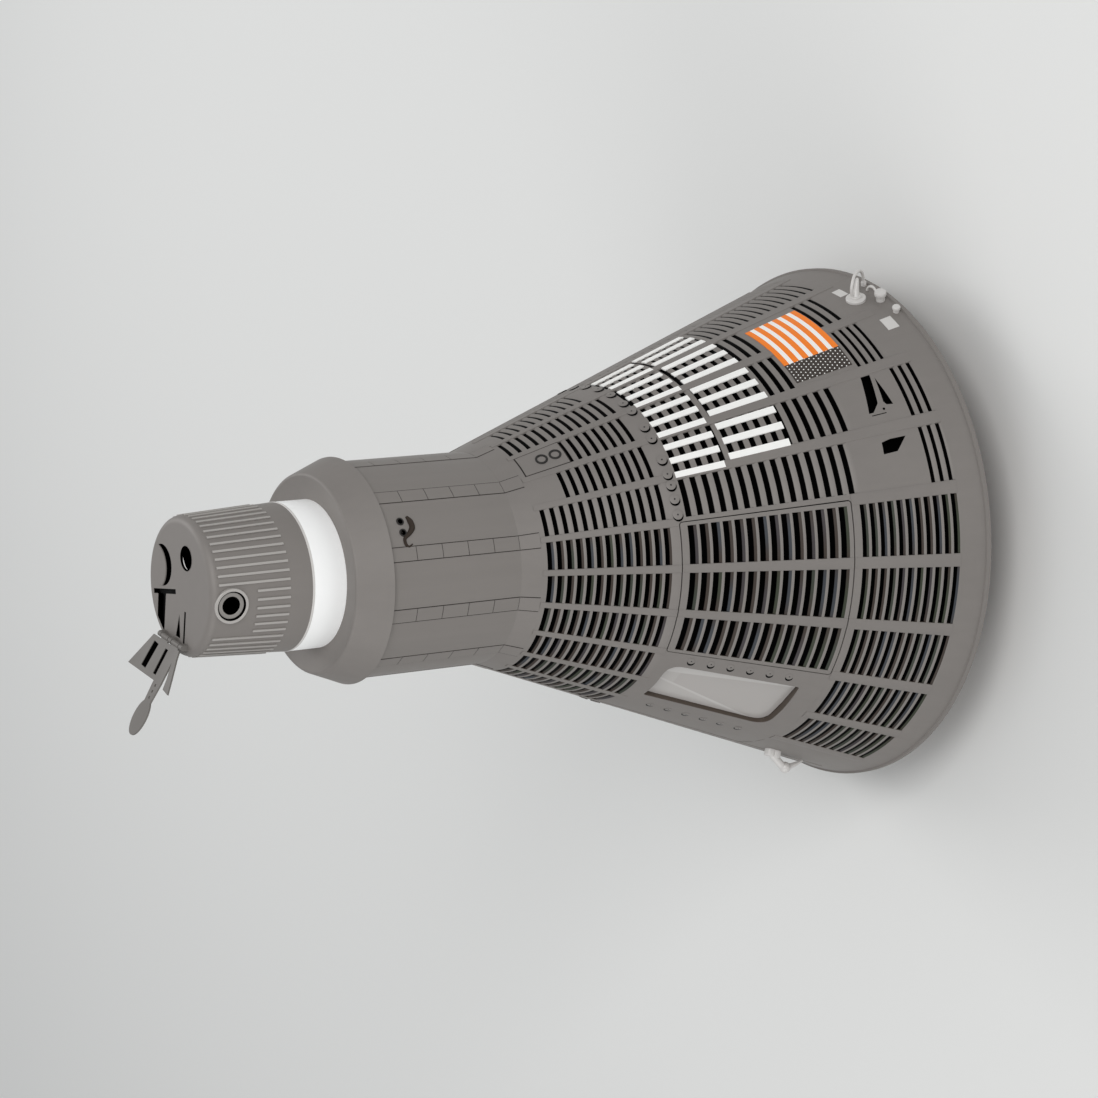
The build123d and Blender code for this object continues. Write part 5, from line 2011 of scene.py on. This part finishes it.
@dataclass
class Cabin:
    """Bulkheads, walls, couch, panel and consoles, with dials and switches.

    dial_ahead is how far the first and last row of dials stand from the panel's end, dial_side how far they
    reach to each side. switch_reach and switch_rows place the switches along and across the consoles.
    """

    dial_radius: float = 0.034
    dial_ahead: Pair = (0.08, 0.44)
    dial_side: float = 0.26
    dials: tuple[int, int] = (5, 6)
    dial_ring: Colour = (58, 60, 62)
    dial_mark: Colour = (225, 224, 218)
    dial_face: Colour = (18, 18, 19)
    switch_radius: float = 0.012
    switch_reach: float = 0.22
    switch_rows: Pair = (0.45, 0.49)
    switches: int = 9
    switch_base: Colour = (36, 37, 38)
    switch_lever: Colour = (206, 204, 198)

    def build(self, shop: Workshop) -> None:
        """Dresses the cabin and adds the dials below the panel and the switches on the consoles.

        Args:
            shop: The workshop that makes the pieces.
        """
        shop.dress(WALL, "outer_wall", "hatch_panel")
        shop.dress(CABIN, "pressure_wall", "hatch_plug", "aft_bulkhead", "forward_bulkhead", "couch_beams")
        shop.dress(PANEL, "instrument_panel", "left_console", "right_console")
        shop.dress(COUCH, "couch")
        shop.piece("panel_dials", self.panel_dials(), DIAL)
        sides = {"left_console": 1, "right_console": -1}
        switches = [self.console_switches(name, side) for name, side in sides.items()]
        shop.piece("console_switches", join(switches), DIAL)

    @staticmethod
    def field_of(x: np.ndarray, y: np.ndarray, z: float) -> np.ndarray:
        """Returns every place with one of the x and one of the y values, at a height, one a row."""
        x, y = np.meshgrid(x, y, indexing="ij")
        return np.stack([x.ravel(), y.ravel(), np.full(x.size, z)], axis=-1)

    def panel_dials(self) -> Patch:
        """Makes the dials, which look down from the panel.

        Returns:
            All dials as one patch.
        """
        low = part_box("instrument_panel")[0]
        rows, columns = self.dials
        ahead = np.linspace(low.x + self.dial_ahead[0], low.x + self.dial_ahead[1], rows)
        places = self.field_of(ahead, np.linspace(-self.dial_side, self.dial_side, columns), low.z)
        down = np.broadcast_to(np.diag([1.0, -1.0, -1.0]), (len(places), 3, 3))
        profile = self.dial_radius * np.array([
            [1, -0.1], [1, 0.3], [0.86, 0.36], [0.84, 0.16], [0.6, 0.16], [0.58, 0.16], [0, 0.16],
        ])
        colours = tints(*[self.dial_ring] * 4, self.dial_mark, *[self.dial_face] * 2)
        return turned(profile, places, down, 24, tint=colours, depth=np.zeros(len(profile)))

    def console_switches(self, name: str, side: int) -> Patch:
        """Makes the switches on top of a console.

        Args:
            name: The console's node.
            side: 1 for the console at +Y, -1 for the one at -Y.

        Returns:
            Its switches as one patch.
        """
        along = np.linspace(-self.switch_reach, self.switch_reach, self.switches)
        places = self.field_of(along, side * np.array(self.switch_rows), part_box(name)[1].z)
        upright = np.broadcast_to(np.eye(3), (len(places), 3, 3))
        profile = self.switch_radius * np.array([
            [1, -0.2], [1, 0.9], [0.85, 1.1], [0.3, 1.1], [0.25, 2.4], [0, 2.5],
        ])
        colours = tints(*[self.switch_base] * 4, *[self.switch_lever] * 2)
        return turned(profile, places, upright, 16, tint=colours, depth=np.zeros(len(profile)))


@dataclass(frozen=True)
class Lamp:
    """A soft square lamp: its place, width and power."""

    name: str
    place: Triple
    size: float
    power: float


@dataclass
class Studio:
    """Floor, lights and the camera at the picture's viewing angle.

    right, up and back are the camera's own directions, and aim is what the lamps point at.
    """

    sensor: float = 36.0
    focus_pixels: float = 3200.0
    image_pixels: float = 1098.0
    view_end: float = 200.0
    eye: Triple = (3.2127, -8.9948, 7.5509)
    right: Triple = (0.0853, -0.5372, -0.8391)
    up: Triple = (0.9552, 0.2838, -0.0846)
    back: Triple = (0.2836, -0.7943, 0.5373)
    floor_radius: float = 40.0
    floor_steps: int = 64
    floor_colour: Colour = (226, 226, 224)
    floor_roughness: float = 0.8
    sky_colour: Colour = (236, 238, 240)
    sky_strength: float = 0.62
    aim: Triple = (0.0, 0.0, 1.2)
    lamps: tuple[Lamp, ...] = (
        Lamp("key", (5.5, -7.0, 9.0), 5.0, 520.0),
        Lamp("fill", (-7.0, -6.0, 6.0), 6.0, 220.0),
        Lamp("rim", (2.0, 8.0, 8.0), 5.0, 260.0),
    )

    def build(self) -> None:
        """Makes the floor, world, lamps and camera."""
        scene = bpy.context.scene
        scene.view_settings.view_transform = "Standard"
        self.add_floor(scene)
        self.add_world(scene)
        for lamp in self.lamps:
            self.add_lamp(scene, lamp)
        self.add_camera(scene)

    def add_camera(self, scene: bpy.types.Scene) -> None:
        """Makes the camera from its place and its three directions.

        Args:
            scene: The scene that it goes into.
        """
        camera = bpy.data.cameras.new("camera")
        camera.lens = self.sensor * self.focus_pixels / self.image_pixels
        camera.sensor_width = self.sensor
        camera.clip_end = self.view_end
        seat = bpy.data.objects.new("camera", camera)
        scene.collection.objects.link(seat)
        turn = Matrix((self.right, self.up, self.back)).transposed().to_4x4()
        seat.matrix_world = Matrix.Translation(self.eye) @ turn
        scene.camera = seat

    def add_floor(self, scene: bpy.types.Scene) -> None:
        """Makes the pale round floor that the capsule stands on.

        Args:
            scene: The scene that it goes into.
        """
        a = circle(self.floor_steps)
        ring = self.floor_radius * np.stack([np.sin(a), -np.cos(a), np.zeros_like(a)], axis=-1)
        mesh = bpy.data.meshes.new("floor")
        mesh.from_pydata(ring.tolist(), [], [list(range(len(a)))])
        paint = bpy.data.materials.new("floor_paint")
        shader = shader_of(paint, "BSDF_PRINCIPLED")
        shader.inputs["Base Color"].default_value = linear(self.floor_colour)
        shader.inputs["Roughness"].default_value = self.floor_roughness
        mesh.materials.append(paint)
        floor = bpy.data.objects.new("floor", mesh)
        scene.collection.objects.link(floor)

    def add_world(self, scene: bpy.types.Scene) -> None:
        """Makes an even pale sky.

        Args:
            scene: The scene that it goes into.
        """
        world = bpy.data.worlds.new("studio")
        sky = shader_of(world, "BACKGROUND")
        sky.inputs["Color"].default_value = linear(self.sky_colour)
        sky.inputs["Strength"].default_value = self.sky_strength
        scene.world = world

    def add_lamp(self, scene: bpy.types.Scene, lamp: Lamp) -> None:
        """Makes a lamp aimed at the capsule's middle.

        Args:
            scene: The scene that it goes into.
            lamp: Its name, place, width and power.
        """
        light = bpy.data.lights.new(lamp.name, "AREA")
        light.size = lamp.size
        light.energy = lamp.power
        seat = bpy.data.objects.new(lamp.name, light)
        seat.location = lamp.place
        seat.rotation_euler = (Vector(self.aim) - seat.location).to_track_quat("-Z", "Y").to_euler()
        scene.collection.objects.link(seat)


def main() -> None:
    """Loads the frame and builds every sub-assembly in order."""
    logging.basicConfig(level=logging.INFO, format="%(name)s: %(message)s")
    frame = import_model()
    shield_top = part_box("heat_shield")[1]
    rim_z = shield_top.z - SHIELD_LIP
    cone = Wall(rim_z, shield_top.x, CONE_SLOPE)
    cone_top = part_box("forward_bulkhead")[1].z - rim_z
    shop = Workshop(frame, Groups())
    ablator = LipFinish("shield_ablator", (86, 66, 52), 0.75, edge=rim_z - MM, slot="ablator")
    shop.dress(ablator, "heat_shield")
    shop.dress(SKIN, "skirt")
    skin = LouvredSkin(cone, cone_top)
    skin.build(shop)
    Hatch(skin).build(shop)
    Ports(skin).build(shop)
    Window(cone).build(shop)
    Markings(cone).build(shop)
    ConeFittings(cone).build(shop)
    cylinder_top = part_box("recovery_cylinder")[1].z - rim_z
    RecoverySection(cone, cone_top + COLLAR, cylinder_top).build(shop)
    low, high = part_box("canister")
    NoseCanister(low.z, high.z, high.x).build(shop)
    SkirtFittings(cone).build(shop)
    Cabin().build(shop)
    Studio().build()


if __name__ == "__main__":
    main()
